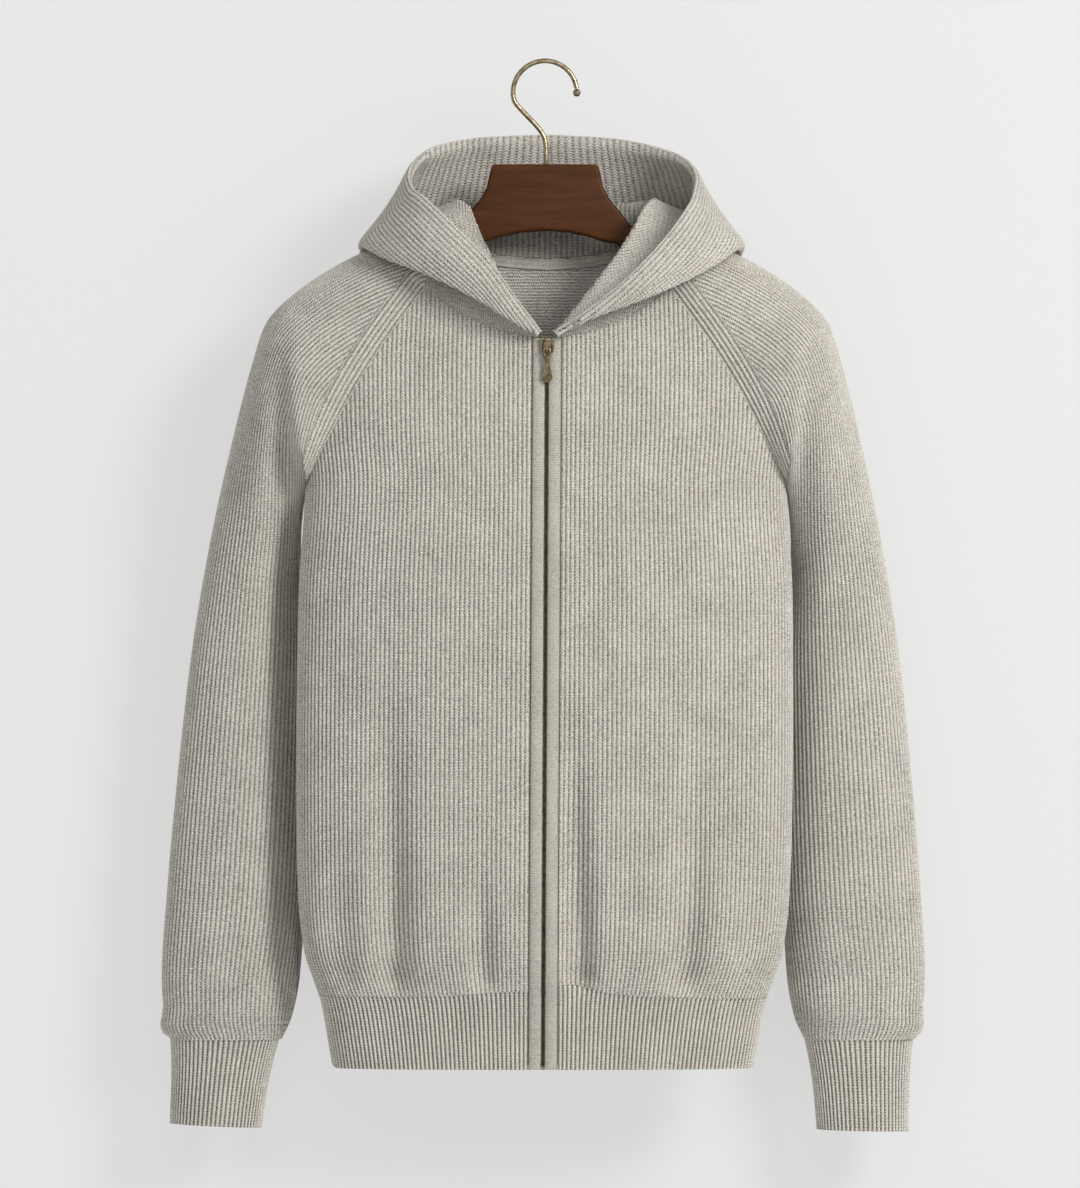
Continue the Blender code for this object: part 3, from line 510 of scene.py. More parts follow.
def knit(node, grid, phase, run, finish, slot, depth, kind="knit", wall=CLOTH, sign=1, close=False, lip=0.06,
         normal=None, purl=False):
    """A knitted shell: ribbed outside and inside on a grid, with rounded edges."""
    rows, columns = grid.shape[:2]
    phase, run = np.broadcast_to(phase, (rows, columns)), np.broadcast_to(run, (rows, columns))
    weld = normal is not None
    if not weld:
        normal = unit_normals(grid, close) * sign
    edge = np.zeros((rows, columns, 1))
    edge[0] = edge[-1] = 1
    if not close:
        edge[:, 0] = edge[:, -1] = 1
    height = cord(phase)[..., None] * (1 - edge) + EDGE_HEIGHT * edge
    outer = grid - normal * depth * (1 - height)
    back_depth = 0 if purl else depth * BACK_RELIEF
    inner = grid - normal * (wall - back_depth * (1 - cord(phase + 0.5)[..., None]))
    outer = outer - normal * edge * lip * 0.5
    inner = inner + normal * edge * lip * 0.5
    count = rows * columns
    verts = np.concatenate((outer.reshape(-1, 3), inner.reshape(-1, 3)))
    index = np.arange(count).reshape(rows, columns)
    if close:
        index = np.concatenate((index, index[:, :1]), 1)
    quads = np.stack((index[:-1, :-1], index[:-1, 1:], index[1:, 1:], index[1:, :-1]), -1).reshape(-1, 4)
    parts = [quads, quads[:, ::-1] + count]
    ends = [(index[0], False), (index[-1], True)]
    if not close:
        ends += [(index[:, 0], True), (index[:, -1], False)]
    for line, back in ends:
        rim = np.stack((line[:-1], line[:-1] + count, line[1:] + count, line[1:]), -1)
        parts.append(rim[:, ::-1] if back else rim)
    faces = np.concatenate(parts)
    if sign < 0:
        faces = faces[:, ::-1]
    used, faces = np.unique(faces, return_inverse=True)
    faces = faces.reshape(-1, 4)
    uv = np.stack((phase, run), -1).reshape(-1, 2)
    uv = np.concatenate((uv, uv + np.array((PURL if purl else 0.5, 0.0))))
    name = "%s_%s" % (node, kind)
    mesh = mesh_from(name, verts[used], faces, uv[used], weld)
    made = add_piece(name, mesh, finish, "garment", [node])
    width, length = lengths(grid, 1)[rows // 2:, -1].max(), lengths(grid, 0)[-1].max()
    if close:
        width = width + np.linalg.norm(grid[:, -1] - grid[:, 0], axis=-1).max()


# Materials

YARN_TONE = 0.76  # how light a rib's crest is between the dark and the light yarn


def node(tree, kind, *inputs, **settings):
    """Adds a shader node, sets its options and links or sets its inputs in order."""
    made = tree.nodes.new("ShaderNode" + kind)
    settle(made, **settings)
    for socket, value in zip(made.inputs, inputs):
        if value is None:
            continue
        if isinstance(value, bpy.types.NodeSocket):
            tree.links.new(value, socket)
        else:
            socket.default_value = value
    return made


def maths(tree, operation, *inputs, clamp=False):
    return node(tree, "Math", *inputs, operation=operation, use_clamp=clamp).outputs[0]


def settle(made, **values):
    for name, value in values.items():
        setattr(made, name, value)


def set_inputs(made, values):
    for name, value in values.items():
        made.inputs[name].default_value = value


def new_material(name, roughness, metallic=0.0):
    made = bpy.data.materials.new(name)
    made.use_nodes = True
    shader = made.node_tree.nodes["Principled BSDF"]
    set_inputs(shader, {"Roughness": roughness, "Metallic": metallic})
    return made, made.node_tree, shader


def noise(tree, scale, detail, rough, stretch=None):
    """Noise in the object's own space, in cycles a metre; stretch scales its axes."""
    at = node(tree, "TexCoord").outputs["Object"]
    if stretch:
        mapping = node(tree, "Mapping", at)
        set_inputs(mapping, {"Scale": stretch})
        at = mapping.outputs[0]
    return node(tree, "TexNoise", at, None, scale, detail, rough).outputs[0]


def relief(tree, shader, height, strength, distance):
    """Bumps a shader's surface by a height."""
    bump = node(tree, "Bump")
    set_inputs(bump, {"Strength": strength, "Distance": distance})
    tree.links.new(height, bump.inputs["Height"])
    tree.links.new(bump.outputs[0], shader.inputs["Normal"])


def tint(tree, shader, factor, low, high):
    """Colours a shader between two colours, by a factor."""
    mix = node(tree, "Mix", data_type="RGBA")
    tree.links.new(factor, mix.inputs[0])
    mix.inputs[6].default_value = (*low, 1)
    mix.inputs[7].default_value = (*high, 1)
    tree.links.new(mix.outputs[2], shader.inputs["Base Color"])


def yarn_material(name, light, dark, stitch, groove_shade, bump, contrast=2.8):
    """Mélange yarn with stitches, painted shade as dark beads in the grooves, flecks and fuzz. UV is ribs by
    mm.
    """
    made, tree, shader = new_material(name, 0.93)
    add, times, fit = (partial(maths, tree, kind) for kind in ("ADD", "MULTIPLY", "MULTIPLY_ADD"))

    def sine(turns):
        return maths(tree, "SINE", times(turns, 2 * pi))

    ribs, run = node(tree, "SeparateXYZ", node(tree, "TexCoord").outputs["UV"]).outputs[:2]
    reverse = maths(tree, "GREATER_THAN", ribs, PURL / 2)
    off = times(maths(tree, "ABSOLUTE", add(maths(tree, "FRACT", ribs), -0.5)), 2.0)
    hollow = maths(tree, "POWER", off, 2.2)
    shift = times(noise(tree, 260.0, 2.0, 0.5), 0.9)
    fleck, fuzz = noise(tree, 780.0, 4.0, 0.8), noise(tree, 2600.0, 2.0, 0.6)
    cloud = noise(tree, 30.0, 3.0, 0.6)

    # Slanting stitches on the face, staggered bumps on the reverse
    along = maths(tree, "DIVIDE", run, stitch)
    wave = fit(sine(add(add(along, times(off, -0.55)), shift)), 0.5, 0.5)
    rows = maths(tree, "DIVIDE", run, stitch * 1.1)
    bumps = sine(fit(ribs, 2.0, times(maths(tree, "FLOOR", rows), 0.5)))
    bumpy = fit(fit(bumps, 0.7, sine(add(rows, shift))), 0.30, 0.5)

    # Painted shade: the colour darkens in the grooves between the ribs, in dots at the stitch spacing.
    painted_groove_shade = times(times(hollow, groove_shade), fit(wave, -0.7, 1.3))
    face = maths(tree, "SUBTRACT", add(fit(wave, 0.12, -0.06), YARN_TONE), painted_groove_shade)
    side = node(tree, "Mix", reverse, None, face, fit(bumpy, 0.95, 0.27)).outputs[0]
    spot = fit(fleck, contrast, -contrast / 2)
    tint(tree, shader, add(add(spot, side), fit(cloud, 0.34, -0.17), clamp=True), dark, light)

    stitches = times(wave, fit(maths(tree, "SUBTRACT", 1.0, hollow), -0.35, 0.75))
    surface = node(tree, "Mix", reverse, None, stitches, bumpy).outputs[0]
    relief(tree, shader, add(surface, fit(fleck, 0.7, times(fuzz, 0.35))), 1.0, bump)
    set_inputs(shader, {"Sheen Weight": 0.3, "Sheen Roughness": 0.6, "Sheen Tint": (0.9, 0.86, 0.78, 1),
                        "Specular IOR Level": 0.12})
    return made


def wood_material():
    """Stained wood: long grain along the arms, pores, a satin coat."""
    made, tree, shader = new_material("stained_wood", 0.5)
    fit = partial(maths, tree, "MULTIPLY_ADD")
    grain = noise(tree, 1.0, 6.0, 0.62, (14, 60, 130))
    pores = noise(tree, 1.0, 3.0, 0.6, (60, 300, 900))
    tone = maths(tree, "ADD", fit(grain, 1.5, -0.35), fit(pores, 0.5, -0.25), clamp=True)
    tint(tree, shader, tone, (0.040, 0.0125, 0.0022), (0.100, 0.0340, 0.0060))
    tree.links.new(fit(pores, 0.16, 0.40), shader.inputs["Roughness"])
    relief(tree, shader, pores, 0.25, 0.0003)
    set_inputs(shader, {"Specular IOR Level": 0.15})
    return made


def brass_material(name, low, high, rough):
    """Aged metal with blotchy tarnish."""
    made, tree, shader = new_material(name, rough, 1.0)
    blotch = noise(tree, 240.0, 4.0, 0.6)
    tint(tree, shader, maths(tree, "MULTIPLY_ADD", blotch, 2.2, -0.6, clamp=True), low, high)
    tree.links.new(maths(tree, "MULTIPLY_ADD", blotch, 0.22, rough - 0.1), shader.inputs["Roughness"])
    return made


def tape_material():
    """Woven zip tape: a fine diagonal weave."""
    made, tree, shader = new_material("woven_tape", 0.85)
    at = node(tree, "TexCoord").outputs["Object"]
    weave = node(tree, "TexWave", at, 900.0, 1.5, bands_direction="DIAGONAL")
    tint(tree, shader, weave.outputs[1], (0.035, 0.032, 0.028), (0.085, 0.078, 0.068))
    return made


# Pieces of the cardigan

PITCH = 4.0  # body, sleeve and hood ribs
RIB_PITCH = 3.6  # hem and cuff ribs
FINE = 5  # grid columns to a rib
BODY_DEPTH = 1.15  # relief of the body's ribs
RIB_DEPTH = 1.45  # relief of the hem's and cuffs' ribs
HEM_CORNER = 9.0  # how far the hem rises at the sides, which rounds its corners
BORDER_RIBS = 5  # ribs that follow a raglan seam on the sleeve
GROOVE = 1.3  # how far a front's edge falls back beside the placket
GROOVE_REACH = 2.2  # how far from the placket that reaches
HEM_ROWS = 0.4  # how much closer a panel's rows lie near its two ends
RIB_ROWS = (0, 0.012, 0.05, 0.18, 0.33, 0.48, 0.63, 0.78, 0.9, 0.975, 0.99, 1)
# How much higher the hem's seam runs beside the zip, mm from the middle and mm up
SEAM_LIFT = {-1: ((0, 40, 85, 130, 230), (5, 4, 1, 0, 0)), 1: ((0, 30, 55, 95, 230), (11, 10, 4, 0, -2.5))}
LIFT_ARC = 220  # half the hem's length, on which those lie


def seam_lift(face, side, start, share):
    """How much higher the hem's seam runs at shares of the way to the side."""
    if face == "back":
        return 0 * share
    return np.interp(start + share * LIFT_ARC, *SEAM_LIFT[side])


def fall_back(grid, face, arc, start):
    """Lets a front's edge fall back beside the placket."""
    if face == "front":
        grid[..., 1] += GROOVE * np.exp(-(arc - start) / GROOVE_REACH)
    return grid


def panel_fine(face, side, start, rows):
    """Grid, rib phase and running length of a half panel, columns from the centre out."""
    neck, seam = neckline(face, np.linspace(0, 1, 120)), raglan(face, np.linspace(0, 1, 240))
    top_x, top_z = (np.concatenate((a, b[1:])) for a, b in zip(neck, seam))
    whole = whole_arc(face, top_z)
    share = np.clip((arc_to(face, top_x, top_z) - start) / (whole - start), 0, 1)
    share = np.maximum.accumulate(share)
    ribs = round((whole_arc(face, -560.0) - start) / PITCH)
    column_share = np.linspace(0, 1, ribs * FINE + 1)
    column_z = np.interp(column_share, share, top_z)
    v = np.linspace(0, 1, rows)[:, None]
    v = v - HEM_ROWS * np.sin(2 * pi * v) / (2 * pi)
    column_share = column_share[None, :]
    low = HEM_SEAM_Z + SEAM_GAP + seam_lift(face, side, start, column_share)
    z = (column_z - SEAM_GAP)[None, :] * (1 - v) + low * v
    whole = whole_arc(face, z)
    arc = start + column_share * (whole - start)
    inset = SEAM_GAP * (1 + np.clip(column_share * 30 - 29, 0, 1))
    grid = body_at(face, side, np.minimum(arc, whole - inset), z)
    return fall_back(grid, face, arc, start), column_share * ribs, ZIP_TOP_Z - z


def hem_fine(face, side, start):
    """The same of a half of the hem."""
    ribs = round((float(whole_arc(face, HEM_Z)) - start) / RIB_PITCH)
    share = np.linspace(0, 1, ribs * FINE + 1)[None, :]
    low = HEM_Z + HEM_CORNER * np.clip((share - 0.9) / 0.1, 0, 1) ** 2.5
    down = np.array(RIB_ROWS)[:, None]
    high = HEM_SEAM_Z - SEAM_GAP + seam_lift(face, side, start, share)
    zs = high * (1 - down) + low * down
    whole = whole_arc(face, zs)
    arc = start + share * (whole - 2 * SEAM_GAP - start)
    grid = body_at(face, side, arc, zs)
    return fall_back(grid, face, arc, start), share * ribs, HEM_SEAM_Z - zs


def joined(left, right):
    """Grid, phase and running length of two halves that meet in the middle."""
    return [np.concatenate((flip * a[:, ::-1], b[:, 1:]), 1) for flip, a, b in zip((1, -1, 1), left, right)]


def make_body(finish, rib):
    start = PLACKET_OUT + SEAM_GAP
    for side, name in SIDES:
        knit("front_" + name, *panel_fine("front", side, start, 62), finish, "rib_knit", BODY_DEPTH,
             sign=-side, purl=True)
        knit("hem_front_" + name, *hem_fine("front", side, start), rib, "edge_rib", RIB_DEPTH, sign=-side)
    back = joined(*(panel_fine("back", side, 0.0, 58) for side, _ in SIDES))
    knit("back", *back, finish, "rib_knit", BODY_DEPTH, purl=True)
    hem = joined(*(hem_fine("back", side, 0.0) for side, _ in SIDES))
    knit("hem_back", *hem, rib, "edge_rib", RIB_DEPTH)


def near_line(points, line):
    """Distance from each point to a dense line, and the place of the nearest point on it (0 to 1)."""
    flat = points.reshape(-1, 3)
    best = np.full(len(flat), 1e9)
    spot = np.zeros(len(flat))
    for i, p in enumerate(line):
        away = ((flat - p) ** 2).sum(-1)
        closer = away < best
        best[closer] = away[closer]
        spot[closer] = i / (len(line) - 1)
    return np.sqrt(best).reshape(points.shape[:2]), spot.reshape(points.shape[:2])


# The deep fold in front of each armpit: its middle, its depth and its half width on the body's side
CREASE_Z = (-225, -262, -300, -340, -400, -500, -700, -795)
CREASE = {
    -1: {"z": CREASE_Z, "x": (225, 223, 220, 217, 215, 214, 213, 216), "depth": (0, 7, 15, 22, 29, 32, 27, 4),
         "inner": (8, 7, 6, 7, 40, 60, 60, 60)},
    1: {"z": CREASE_Z, "x": (222, 220, 217, 214, 212, 211, 210, 214), "depth": (0, 5, 9, 12, 10, 7, 6, 2),
        "inner": (8, 7, 6, 7, 30, 60, 60, 60)},
}
CREASE_OUTER = 15.0  # its half width on the sleeve's side
CUFF_SAG = {-1: 2.5, 1: 6.5}  # how much lower each cuff's edge hangs
CUFF_TILT = {-1: 0.045, 1: 0.02}  # how much more it hangs for each mm across
CUFF_SHIFT = {-1: (-2.0, -3.5), 1: (0.0, 0.0)}  # sideways, at its seam and gained by its edge
CUFF_RIBS = 64
BLOUSE = {-1: 6.0, 1: 4.2}  # how far a sleeve's outer side stands out over its cuff
BLOUSE_Z = -796.0  # where it starts to
HALF_RIBS = 37  # ribs of a sleeve on each side of its ridge
SEAM_ROWS = (0.965, 0.975, 0.983, 0.989, 0.994, 0.998, 1)


def blouse(grid, side):
    """Lets a sleeve hang full over its cuff on its outer side."""
    x, z = grid[..., 0], grid[..., 2]
    full = np.clip((BLOUSE_Z - z) / 18, 0, 1)
    full = full * full * (3 - 2 * full) * np.clip((z - CUFF_SEAM_Z) / 5, 0.3, 1)
    low, high = x.min(1, keepdims=True), x.max(1, keepdims=True)
    out = np.clip(side * (x - (low + high) / 2) / (high - low) * 2, 0, 1)
    grid[..., 0] += side * BLOUSE[side] * full * out
    return grid


def crease(grid, side):
    """Pushes in the fold in front of the armpit, steep towards the body and soft down the sleeve."""
    table = CREASE[side]
    z = grid[..., 2]
    off = side * (grid[..., 0] - LEAN_TOP - LEAN * (z - ZIP_TOP_Z)) - column(table, "x", z)
    wide = np.where(off < 0, column(table, "inner", z), CREASE_OUTER)
    columns = np.arange(grid.shape[1])
    middle = grid.shape[1] // 2
    front = np.clip((middle - columns) / (0.35 * middle), 0, 1)
    edge = np.where(z < ARMPIT_Z - 6, 1, np.clip(columns / 6, 0, 1)[None, :])
    grid[..., 1] += column(table, "depth", z) * np.exp(-(off / wide) ** 2) * front * edge
    return grid


def soften(grid, row, reach):
    """Evens out the rows near one row, away from the seams."""
    rows, columns = grid.shape[:2]
    near = np.exp(-((np.arange(rows) - row) / reach) ** 2)[:, None]
    in_from_seam = np.minimum(np.arange(columns), columns - 1 - np.arange(columns))
    weight = 0.9 * near * np.clip((in_from_seam - 2) / 12, 0, 1)[None, :]
    for _ in range(24):
        even = (grid[:-2] + grid[2:]) / 2
        grid[1:-1] += weight[1:-1, :, None] * (even - grid[1:-1])
    return grid


def make_sleeves(finish, rib):
    us = np.linspace(0, 1, HALF_RIBS * FINE + 1)
    cap_t = np.linspace(0, ARMPIT_T, 72)
    ts = np.concatenate((cap_t, np.linspace(ARMPIT_T, 0.955, 48)[1:], SEAM_ROWS))
    cap = len(cap_t)
    middle = len(us) - 1
    angles = np.linspace(0, 2 * pi, CUFF_RIBS * FINE, endpoint=False)[None, :]
    down = np.array(RIB_ROWS)
    zs = CUFF_SEAM_Z + 0.3 + (CUFF_Z - CUFF_SEAM_Z - 0.3) * down
    for side, name in SIDES:
        grid = soften(sleeve(side, ts, us), cap - 1, 5)
        arc = lengths(grid, 1)
        from_ridge = arc - arc[:, middle:middle + 1]
        pitch = arc[:, -1] / 2 / HALF_RIBS
        pitch[:cap] = np.maximum(pitch[:cap], pitch[cap + 2])
        pitch = np.convolve(np.pad(pitch, 6, "edge"), np.ones(13) / 13, "valid")[:, None]
        phase = from_ridge / pitch
        run = np.broadcast_to(lengths(grid[:, middle:middle + 1], 0), phase.shape).copy()
        for face, half in (("front", from_ridge < 0), ("back", from_ridge > 0)):
            away, spot = near_line(grid[:cap], seam_point(face, side, np.linspace(0, 1, 150)))
            width = BORDER_RIBS * PITCH * np.clip((1 - spot) / 0.14, 0, 1)
            border = half[:cap] & (away < width)
            phase[:cap][border] = away[border] / PITCH + 0.5
            run[:cap][border] = spot[border] * 200
        knit("sleeve_" + name, blouse(crease(grid, side), side), phase, run, finish, "rib_knit", BODY_DEPTH,
             sign=-side, purl=True)
        grid = cuff(side, zs, angles)
        shift, gain = CUFF_SHIFT[side]
        across = grid[..., 0] - grid[..., 0].mean(1, keepdims=True)
        grid[..., 2] -= (CUFF_SAG[side] + CUFF_TILT[side] * across) * (down ** 2)[:, None]
        grid[..., 0] += (shift + gain * down)[:, None]
        knit("cuff_" + name, grid, angles / (2 * pi) * CUFF_RIBS, (CUFF_SEAM_Z - zs)[:, None], rib,
             "edge_rib", RIB_DEPTH, close=True, sign=-side)


HOOD_DEPTH = 0.95  # relief of the hood's ribs
RIM_ROLL = 4.0  # how much thicker the hood's turned edge is
BACK_RIBS = 20  # ribs of the hood's centre panel on each side of its middle


def hood_section(side, hs):
    """The hood's dense sections from the rim back to the neck: points with normals, and running length."""
    dense = hood(side, hs, np.linspace(0, 10, 241))[:, ::-1]
    return np.concatenate((dense, unit_normals(dense)), -1), lengths(dense, 1)


def resample(section, arc, marks):
    """A section's points and normals at running lengths; marks past its end stay at the end."""
    return np.stack([np.interp(marks, arc, section[:, k]) for k in range(6)], -1)


def make_hood(finish):
    side_h = np.linspace(HOOD_SPLIT + 0.0012, 0.997, 84)
    for side, name in SIDES:
        dense, arc = hood_section(side, side_h)
        marks = np.arange(0, arc[:, -1].max() + PITCH / FINE, PITCH / FINE)
        grid = np.array([resample(dense[r], arc[r], marks) for r in range(len(side_h))])
        phase = np.minimum(marks[None, :], arc[:, -1:]) / PITCH + 0.5
        hood_knit("hood_" + name, grid, phase, lengths(grid[:, :1, :3], 0), finish, -side)
    hs = np.linspace(0, HOOD_SPLIT, BACK_RIBS * FINE + 1)
    share = np.linspace(0, 1, 56)
    grids = []
    for side, _ in SIDES:
        dense, arc = hood_section(side, hs)
        grid = np.array([resample(dense[r], arc[r], share * arc[r, -1]) for r in range(len(hs))])
        grid[..., 3:] *= side
        grids.append(grid)
    grid = np.concatenate((grids[0][::-1], grids[1][1:]), 0)
    turns = np.concatenate((-hs[::-1], hs[1:])) / HOOD_SPLIT * BACK_RIBS
    hood_knit("hood_back", grid, turns[:, None], lengths(grid[..., :3], 1), finish, -1)


def hood_knit(node, grid, phase, run, finish, sign):
    """A knitted shell whose wall lies half to each side of the grid, with the grid's own normals."""
    normal = grid[..., 3:] * sign
    normal /= np.maximum(np.linalg.norm(normal, axis=-1, keepdims=True), 1e-9)
    back = lengths(grid[..., :3], 1)[..., None]
    roll = RIM_ROLL * np.exp(-(back / 13) ** 2) * (1 - np.exp(-back / 1.6))
    knit(node, grid[..., :3] + normal * (HOOD_CLOTH / 2 + 0.35 * roll), phase, run, finish, "rib_knit",
         HOOD_DEPTH, wall=HOOD_CLOTH + 1.35 * roll, sign=sign, normal=normal)


PLACKET_ROUND = 1.7  # how far a placket's edges fall back
THIN = 1.2  # wall of the zip's tapes and the neck tape
TOOTH_PITCH = 1.7


def make_edges(plain, tape):
    """The plackets and the zip's tapes behind them."""
    zs = np.linspace(ZIP_TOP_Z - 0.6, HEM_Z, 90)
    run = (ZIP_TOP_Z - zs)[:, None]
    across = np.abs(np.linspace(-1, 1, 13))[None, :]
    phase = 0.5 + 0.5 * np.clip(across * 3.2 - 2.2, 0, 1)
    for side, name in SIDES:
        grid = strip(side, PLACKET_IN - 1.2, PLACKET_OUT, zs, 0.0, 12)
        grid[..., 1] += PLACKET_ROUND * across ** 2.4 - 0.6
        knit("placket_" + name, grid, phase, run, plain, "plain_knit", 0.7, sign=-side, lip=0.8)
        grid = strip(side, SEAM_GAP, ZIP_TAPE, zs, CLOTH + SEAM_GAP, 6)
        knit("zip_" + name, grid, 0.5, run, tape, "zip_tape", 0.0, "tape", THIN, -side, lip=0.2)


def make_teeth(metal):
    """Two rows of teeth between the plackets, each half a pitch from the other."""
    tall = np.array((0.0, 0.0, TOOTH_PITCH * 0.3))
    deep = np.array((0.0, 0.9, 0.0))
    cell = np.array(((0, 1, 2, 3), (7, 6, 5, 4), (0, 4, 5, 1), (1, 5, 6, 2), (2, 6, 7, 3), (3, 7, 4, 0)))
    for side, name in SIDES:
        zs = np.arange(ZIP_TOP_Z - 1.0 - (side > 0) * TOOTH_PITCH / 2, HEM_Z + 3.0, -TOOTH_PITCH)
        rows = strip(side, 0.0, 1.0, zs, CLOTH * 0.75)
        inner, outer = rows[:, 0], rows[:, 1]
        reach = unit(outer - inner)
        base, tip = inner - reach * 0.25, inner + reach * (PLACKET_IN + 0.6)
        corners = [p + up * tall + out * deep for out in (-1, 1)
                   for p, up in ((base, -1), (tip, -1), (tip, 1), (base, 1))]
        verts = np.stack(corners, 1).reshape(-1, 3)
        faces = (cell[None] + 8 * np.arange(len(zs))[:, None, None]).reshape(-1, 4)
        if side < 0:
            faces = faces[:, ::-1]
        name = "zip_%s_teeth" % name
        add_piece(name, mesh_from(name, verts, faces), metal, "garment", [])


def make_neck_tape(plain):
    share = np.linspace(-1, 1, 61)
    drops = np.linspace(1.5, 10.0, 9)
    x, z = neckline("back", np.abs(share) * 0.9)
    rows = []
    for drop in drops:
        arc = arc_to("back", x, z - drop)
        left, right = (body_at("back", side, arc, z - drop) for side, _ in SIDES)
        rows.append(np.where((share > 0)[:, None], right, left))
    grid = np.array(rows)
    grid[..., 1] -= CLOTH + 2 * SEAM_GAP
    knit("neck_tape", grid, (drops / 4.2)[:, None], (share * 80)[None, :], plain, "plain_knit", 0.25,
         wall=THIN)


# Hanger and metal

def flat_part(name, outlines, half, bevel, at, finish, nodes=(), body="garment", rounds=3,
              sharp=50):
    """A flat part from outlines (x, z) in mm, half its thickness to each side, with rounded edges."""
    curve = bpy.data.curves.new(name, "CURVE")
    settle(curve, dimensions="2D", fill_mode="BOTH", extrude=(half - bevel) * MM, bevel_depth=bevel * MM,
           bevel_resolution=rounds, offset=-bevel * MM)
    for points in outlines:
        spline = curve.splines.new("POLY")
        spline.points.add(len(points) - 1)
        for point, (x, z) in zip(spline.points, points):
            point.co = (x * MM, z * MM, 0.0, 1.0)
        spline.use_cyclic_u = True
    made = new_object(name, curve)
    made.rotation_euler = (pi / 2, 0, 0)
    made.location = at
    bpy.context.view_layer.update()
    mesh = bpy.data.meshes.new_from_object(made.evaluated_get(bpy.context.evaluated_depsgraph_get()))
    mesh.transform(made.matrix_world)
    bpy.data.objects.remove(made)
    weld_close(mesh)
    shade(mesh, sharp)
    add_piece(name, mesh, finish, body, nodes)


def mirrored(right, first=None, last=None):
    """A closed outline from its right half and the mirror image of all or part of it."""
    return right + [(-x, z) for x, z in right[first:last][::-1]]


def make_hanger(wood):
    outline, at = mirrored(hanger_outline(), 1, -1), (0, 4 * MM, 0)
    flat_part("hanger_wood_body", [outline], WOOD_THICK / 2, WOOD_BEVEL, at, wood, ["hanger_wood"],
              rounds=5, sharp=40)


def make_hook(metal):
    route = [Vector((x, 0, z)) * MM for x, z in hook_route()]
    wire = bpy.data.curves.new("hook_wire", "CURVE")
    settle(wire, dimensions="3D", bevel_depth=WIRE_R * MM, bevel_resolution=6, use_fill_caps=True)
    spline = wire.splines.new("NURBS")
    spline.points.add(len(route) - 1)
    for point, p in zip(spline.points, route):
        point.co = (*p, 1.0)
    settle(spline, order_u=4, use_endpoint_u=True, resolution_u=4)
    made = new_object("hook_wire", wire)
    wire.materials.append(metal)
    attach(made, "garment")
    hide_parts("hanger_hook")
    for name in ("hook_ball", "slider_bail"):
        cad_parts[name].data.materials.clear()
        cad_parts[name].data.materials.append(metal)


TAB = [(3.0, 0.7), (3.0, -6.3), (2.1, -9.0), (2.1, -14.5)]  # half widths down the pull tab, from the pin
TAB_END = 4.7  # radius of its round end
WINDOW = (1.7, 5.0)  # half width and height of its opening
RAIL_X = 4.9  # where the slider's two rails stand


def make_zip_metal(metal):
    """The tab on the pin, and the slider with its two side rails."""
    wide, thick, tall = SLIDER_SIZE
    low_z = SLIDER_Z - tall / 2
    cloth_y = float(column(BODY, "side_y", low_z) - column(BODY, "front", low_z)) - 0.3
    centre = TAB_END - PULL_LONG
    arc = [radians(a) for a in np.linspace(0, -180, 17)]
    end = [(TAB_END * cos(a), centre + TAB_END * sin(a)) for a in arc]
    outline = TAB + end + [(-x, z) for x, z in TAB[::-1]]
    x, high = WINDOW
    window = [(-x, -BAR), (x, -BAR), (x, -BAR - high), (-x, -BAR - high)]
    at = Vector((LEAN_TOP, cloth_y - thick - BAR_OUT, PIN_Z)) * MM
    flat_part("pull_tab_metal", [outline, window], PULL_THICK / 2, 0.28, at, metal, ["zip_pull"], "pull_tab")
    half, high = wide / 2, tall / 2
    right = [(half - 1.2, high), (half, high - 2), (half - 0.3, 0), (half - 0.9, 1.5 - high),
             (half - 2.2, -high)]
    at = Vector((LEAN_TOP, cloth_y - thick / 2, SLIDER_Z)) * MM
    flat_part("slider_body_metal", [mirrored(right)], thick / 2, 0.9, at, metal, ["zip_slider"])
    right = [(0.4, high), (0.95, high - 0.6), (0.75, 5 - high)]
    at = Vector((LEAN_TOP, cloth_y - 1.0, SLIDER_Z)) * MM
    for side in (-1, 1):
        rail = [(side * RAIL_X + x, z) for x, z in mirrored(right)]
        flat_part("zip_stop_%d" % (side > 0), [rail], 1.0, 0.4, at, metal)


# Studio

IMAGE = (1080, 1188)  # the photograph's frame, px
PHOTO_MM = 0.84  # mm for each of its pixels
ORIGIN_PX = (545, 62)  # where the origin lies in it
CAMERA_AWAY = 9.0  # m
NEAR_PLANE = -0.02  # y at which the photograph's scale holds, m


def make_camera():
    data = bpy.data.cameras.new("camera")
    made = new_object("camera", data)
    settle(data, sensor_fit="VERTICAL", sensor_height=24,
           lens=24 * CAMERA_AWAY / (IMAGE[1] * PHOTO_MM * MM))
    x = (IMAGE[0] / 2 - ORIGIN_PX[0]) * PHOTO_MM * MM
    z = (ORIGIN_PX[1] - IMAGE[1] / 2) * PHOTO_MM * MM
    made.location = (x, NEAR_PLANE - CAMERA_AWAY, z)
    made.rotation_euler = (pi / 2, 0, 0)
    bpy.context.scene.camera = made
    bpy.context.scene.view_settings.view_transform = "Standard"


def area_light(name, at, aim, power, size, colour=(1, 1, 1)):
    data = bpy.data.lights.new(name, "AREA")
    settle(data, energy=power, shape="DISK", size=size, color=colour)
    made = new_object(name, data)
    made.location = at
    made.rotation_euler = (Vector(aim) - Vector(at)).to_track_quat("-Z", "Y").to_euler()


def plane(name, corners, finish):
    mesh = bpy.data.meshes.new(name)
    mesh.from_pydata(corners, [], [(0, 1, 2, 3)])
    mesh.materials.append(finish)
    made = new_object(name, mesh)


def pale_paint(name, roughness, low, high):
    """A pale surface that drifts between two greys."""
    made, tree, shader = new_material(name, roughness)
    tint(tree, shader, noise(tree, 1.2, 2.0, 0.5), (low,) * 3, (high,) * 3)
    return made, tree, shader


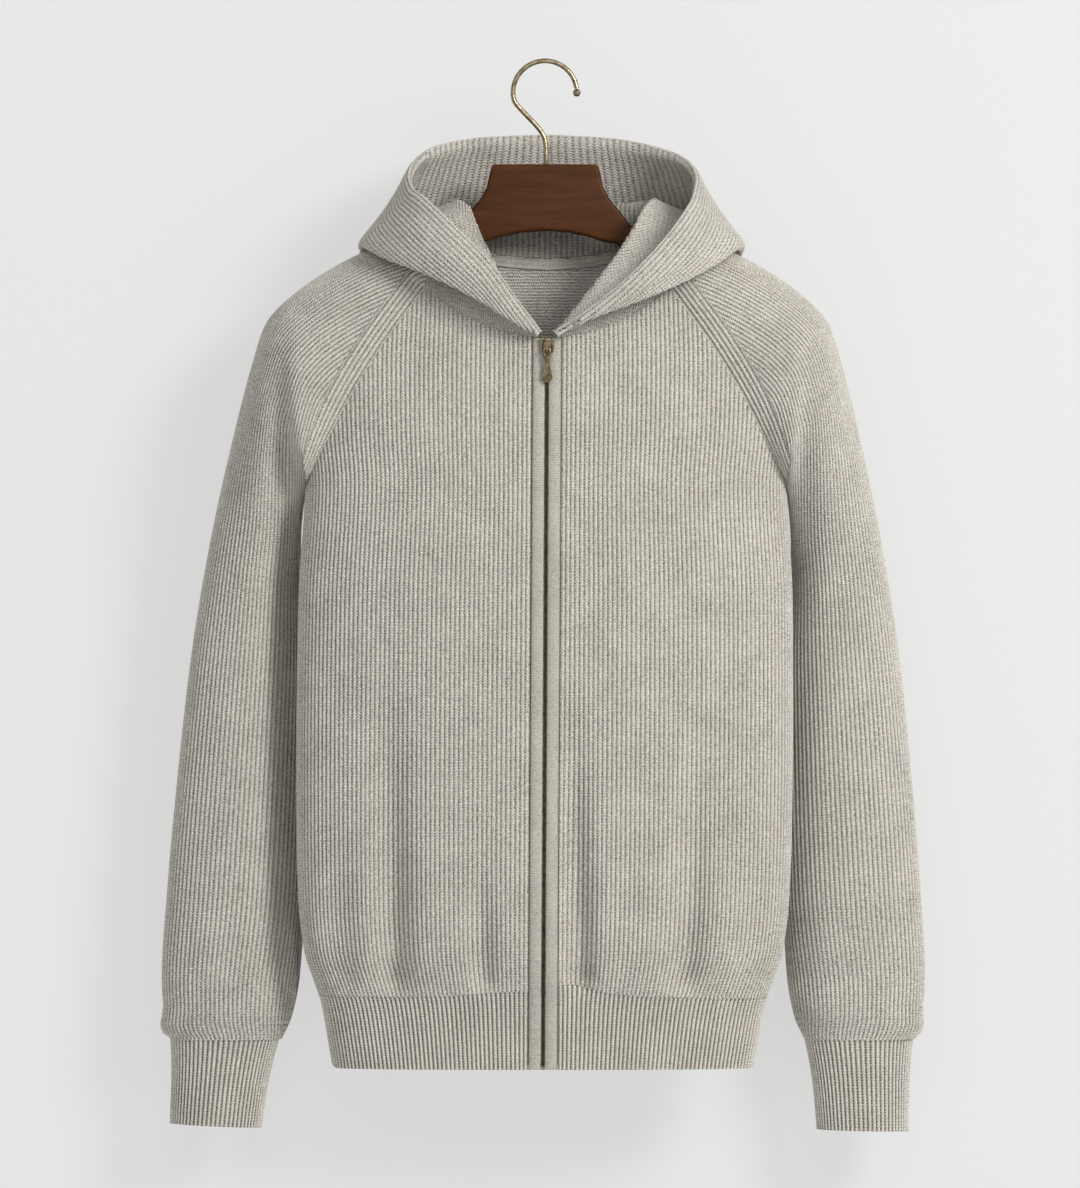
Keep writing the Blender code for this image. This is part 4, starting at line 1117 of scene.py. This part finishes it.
WALL_Y = 0.098  # m
WALL_TOP_Z = 2.5
FLOOR_Z = -1.3
WALL_GLOW = 0.56  # the wall shines on its own as well, which keeps its shadows pale
SKY = 0.46  # strength of the even light from all round


def make_stage():
    """A wall that is clear from behind, a floor out of the picture, and the lights."""
    made, tree, shader = pale_paint("pale_wall", 0.9, 0.21, 0.23)
    set_inputs(shader, {"Specular IOR Level": 0.1, "Emission Color": (1, 1, 1, 1),
                        "Emission Strength": WALL_GLOW})
    seen = node(tree, "NewGeometry").outputs["Backfacing"]
    clear = node(tree, "BsdfTransparent").outputs[0]
    mix = node(tree, "MixShader", seen, shader.outputs[0], clear)
    tree.links.new(mix.outputs[0], tree.nodes["Material Output"].inputs[0])
    low, high = FLOOR_Z, WALL_TOP_Z
    plane("wall", [(x, WALL_Y, z) for x, z in ((-3, low), (3, low), (3, high), (-3, high))], made)
    floor = pale_paint("pale_floor", 0.8, 0.78, 0.82)[0]
    plane("floor", [(x, y, FLOOR_Z) for x, y in ((-6, -6), (6, -6), (6, 6), (-6, 6))], floor)
    world = bpy.data.worlds.new("studio")
    world.use_nodes = True
    set_inputs(world.node_tree.nodes["Background"], {"Color": (1, 1, 1, 1), "Strength": SKY})
    bpy.context.scene.world = world
    area_light("key", (1.95, -2.45, 1.05), (0, 0, -0.45), 84, 1.25, (1.0, 0.985, 0.965))
    area_light("fill", (-0.2, -3.3, 1.0), (0, 0, -0.4), 16, 2.0)
    area_light("back_fill", (-1.2, 2.6, 0.9), (0, 0, -0.45), 30, 2.0)


def main():
    make_camera()
    make_stage()
    light, dark = (0.77, 0.736, 0.668), (0.10, 0.088, 0.066)
    # Each yarn's fifth number sets how dark the painted shade in its grooves is.
    rib_knit = yarn_material("rib_yarn", light, dark, 2.35, 0.70, 0.0009)
    edge_rib = yarn_material("edge_rib_yarn", light, dark, 2.2, 1.05, 0.0006, 2.0)
    # Plackets: their yarn's light colour is set darker than the body's, as painted shade for their rolled
    # edges.
    shaded_edging = yarn_material("edging_yarn", (0.53, 0.505, 0.45), dark, 1.9, 0.9, 0.0006, 2.0)
    smooth = yarn_material("tape_yarn", (0.74, 0.70, 0.63), dark, 1.9, 0.15, 0.0005, 2.0)
    metal = brass_material("aged_brass_metal", (0.13, 0.10, 0.055), (0.50, 0.41, 0.27), 0.28)
    make_body(rib_knit, edge_rib)
    make_sleeves(rib_knit, edge_rib)
    make_hood(yarn_material("hood_yarn", light, dark, 2.35, 0.52, 0.0011, 2.8))
    make_edges(shaded_edging, tape_material())
    # Teeth: dark metal, its colour darkened further as painted shade for the shadow between the plackets.
    make_teeth(brass_material("teeth_metal", (0.018, 0.016, 0.012), (0.10, 0.085, 0.06), 0.45))
    make_neck_tape(smooth)
    make_hanger(wood_material())
    make_hook(metal)
    make_zip_metal(brass_material("zip_brass", (0.03, 0.021, 0.009), (0.40, 0.32, 0.19), 0.24))


main()
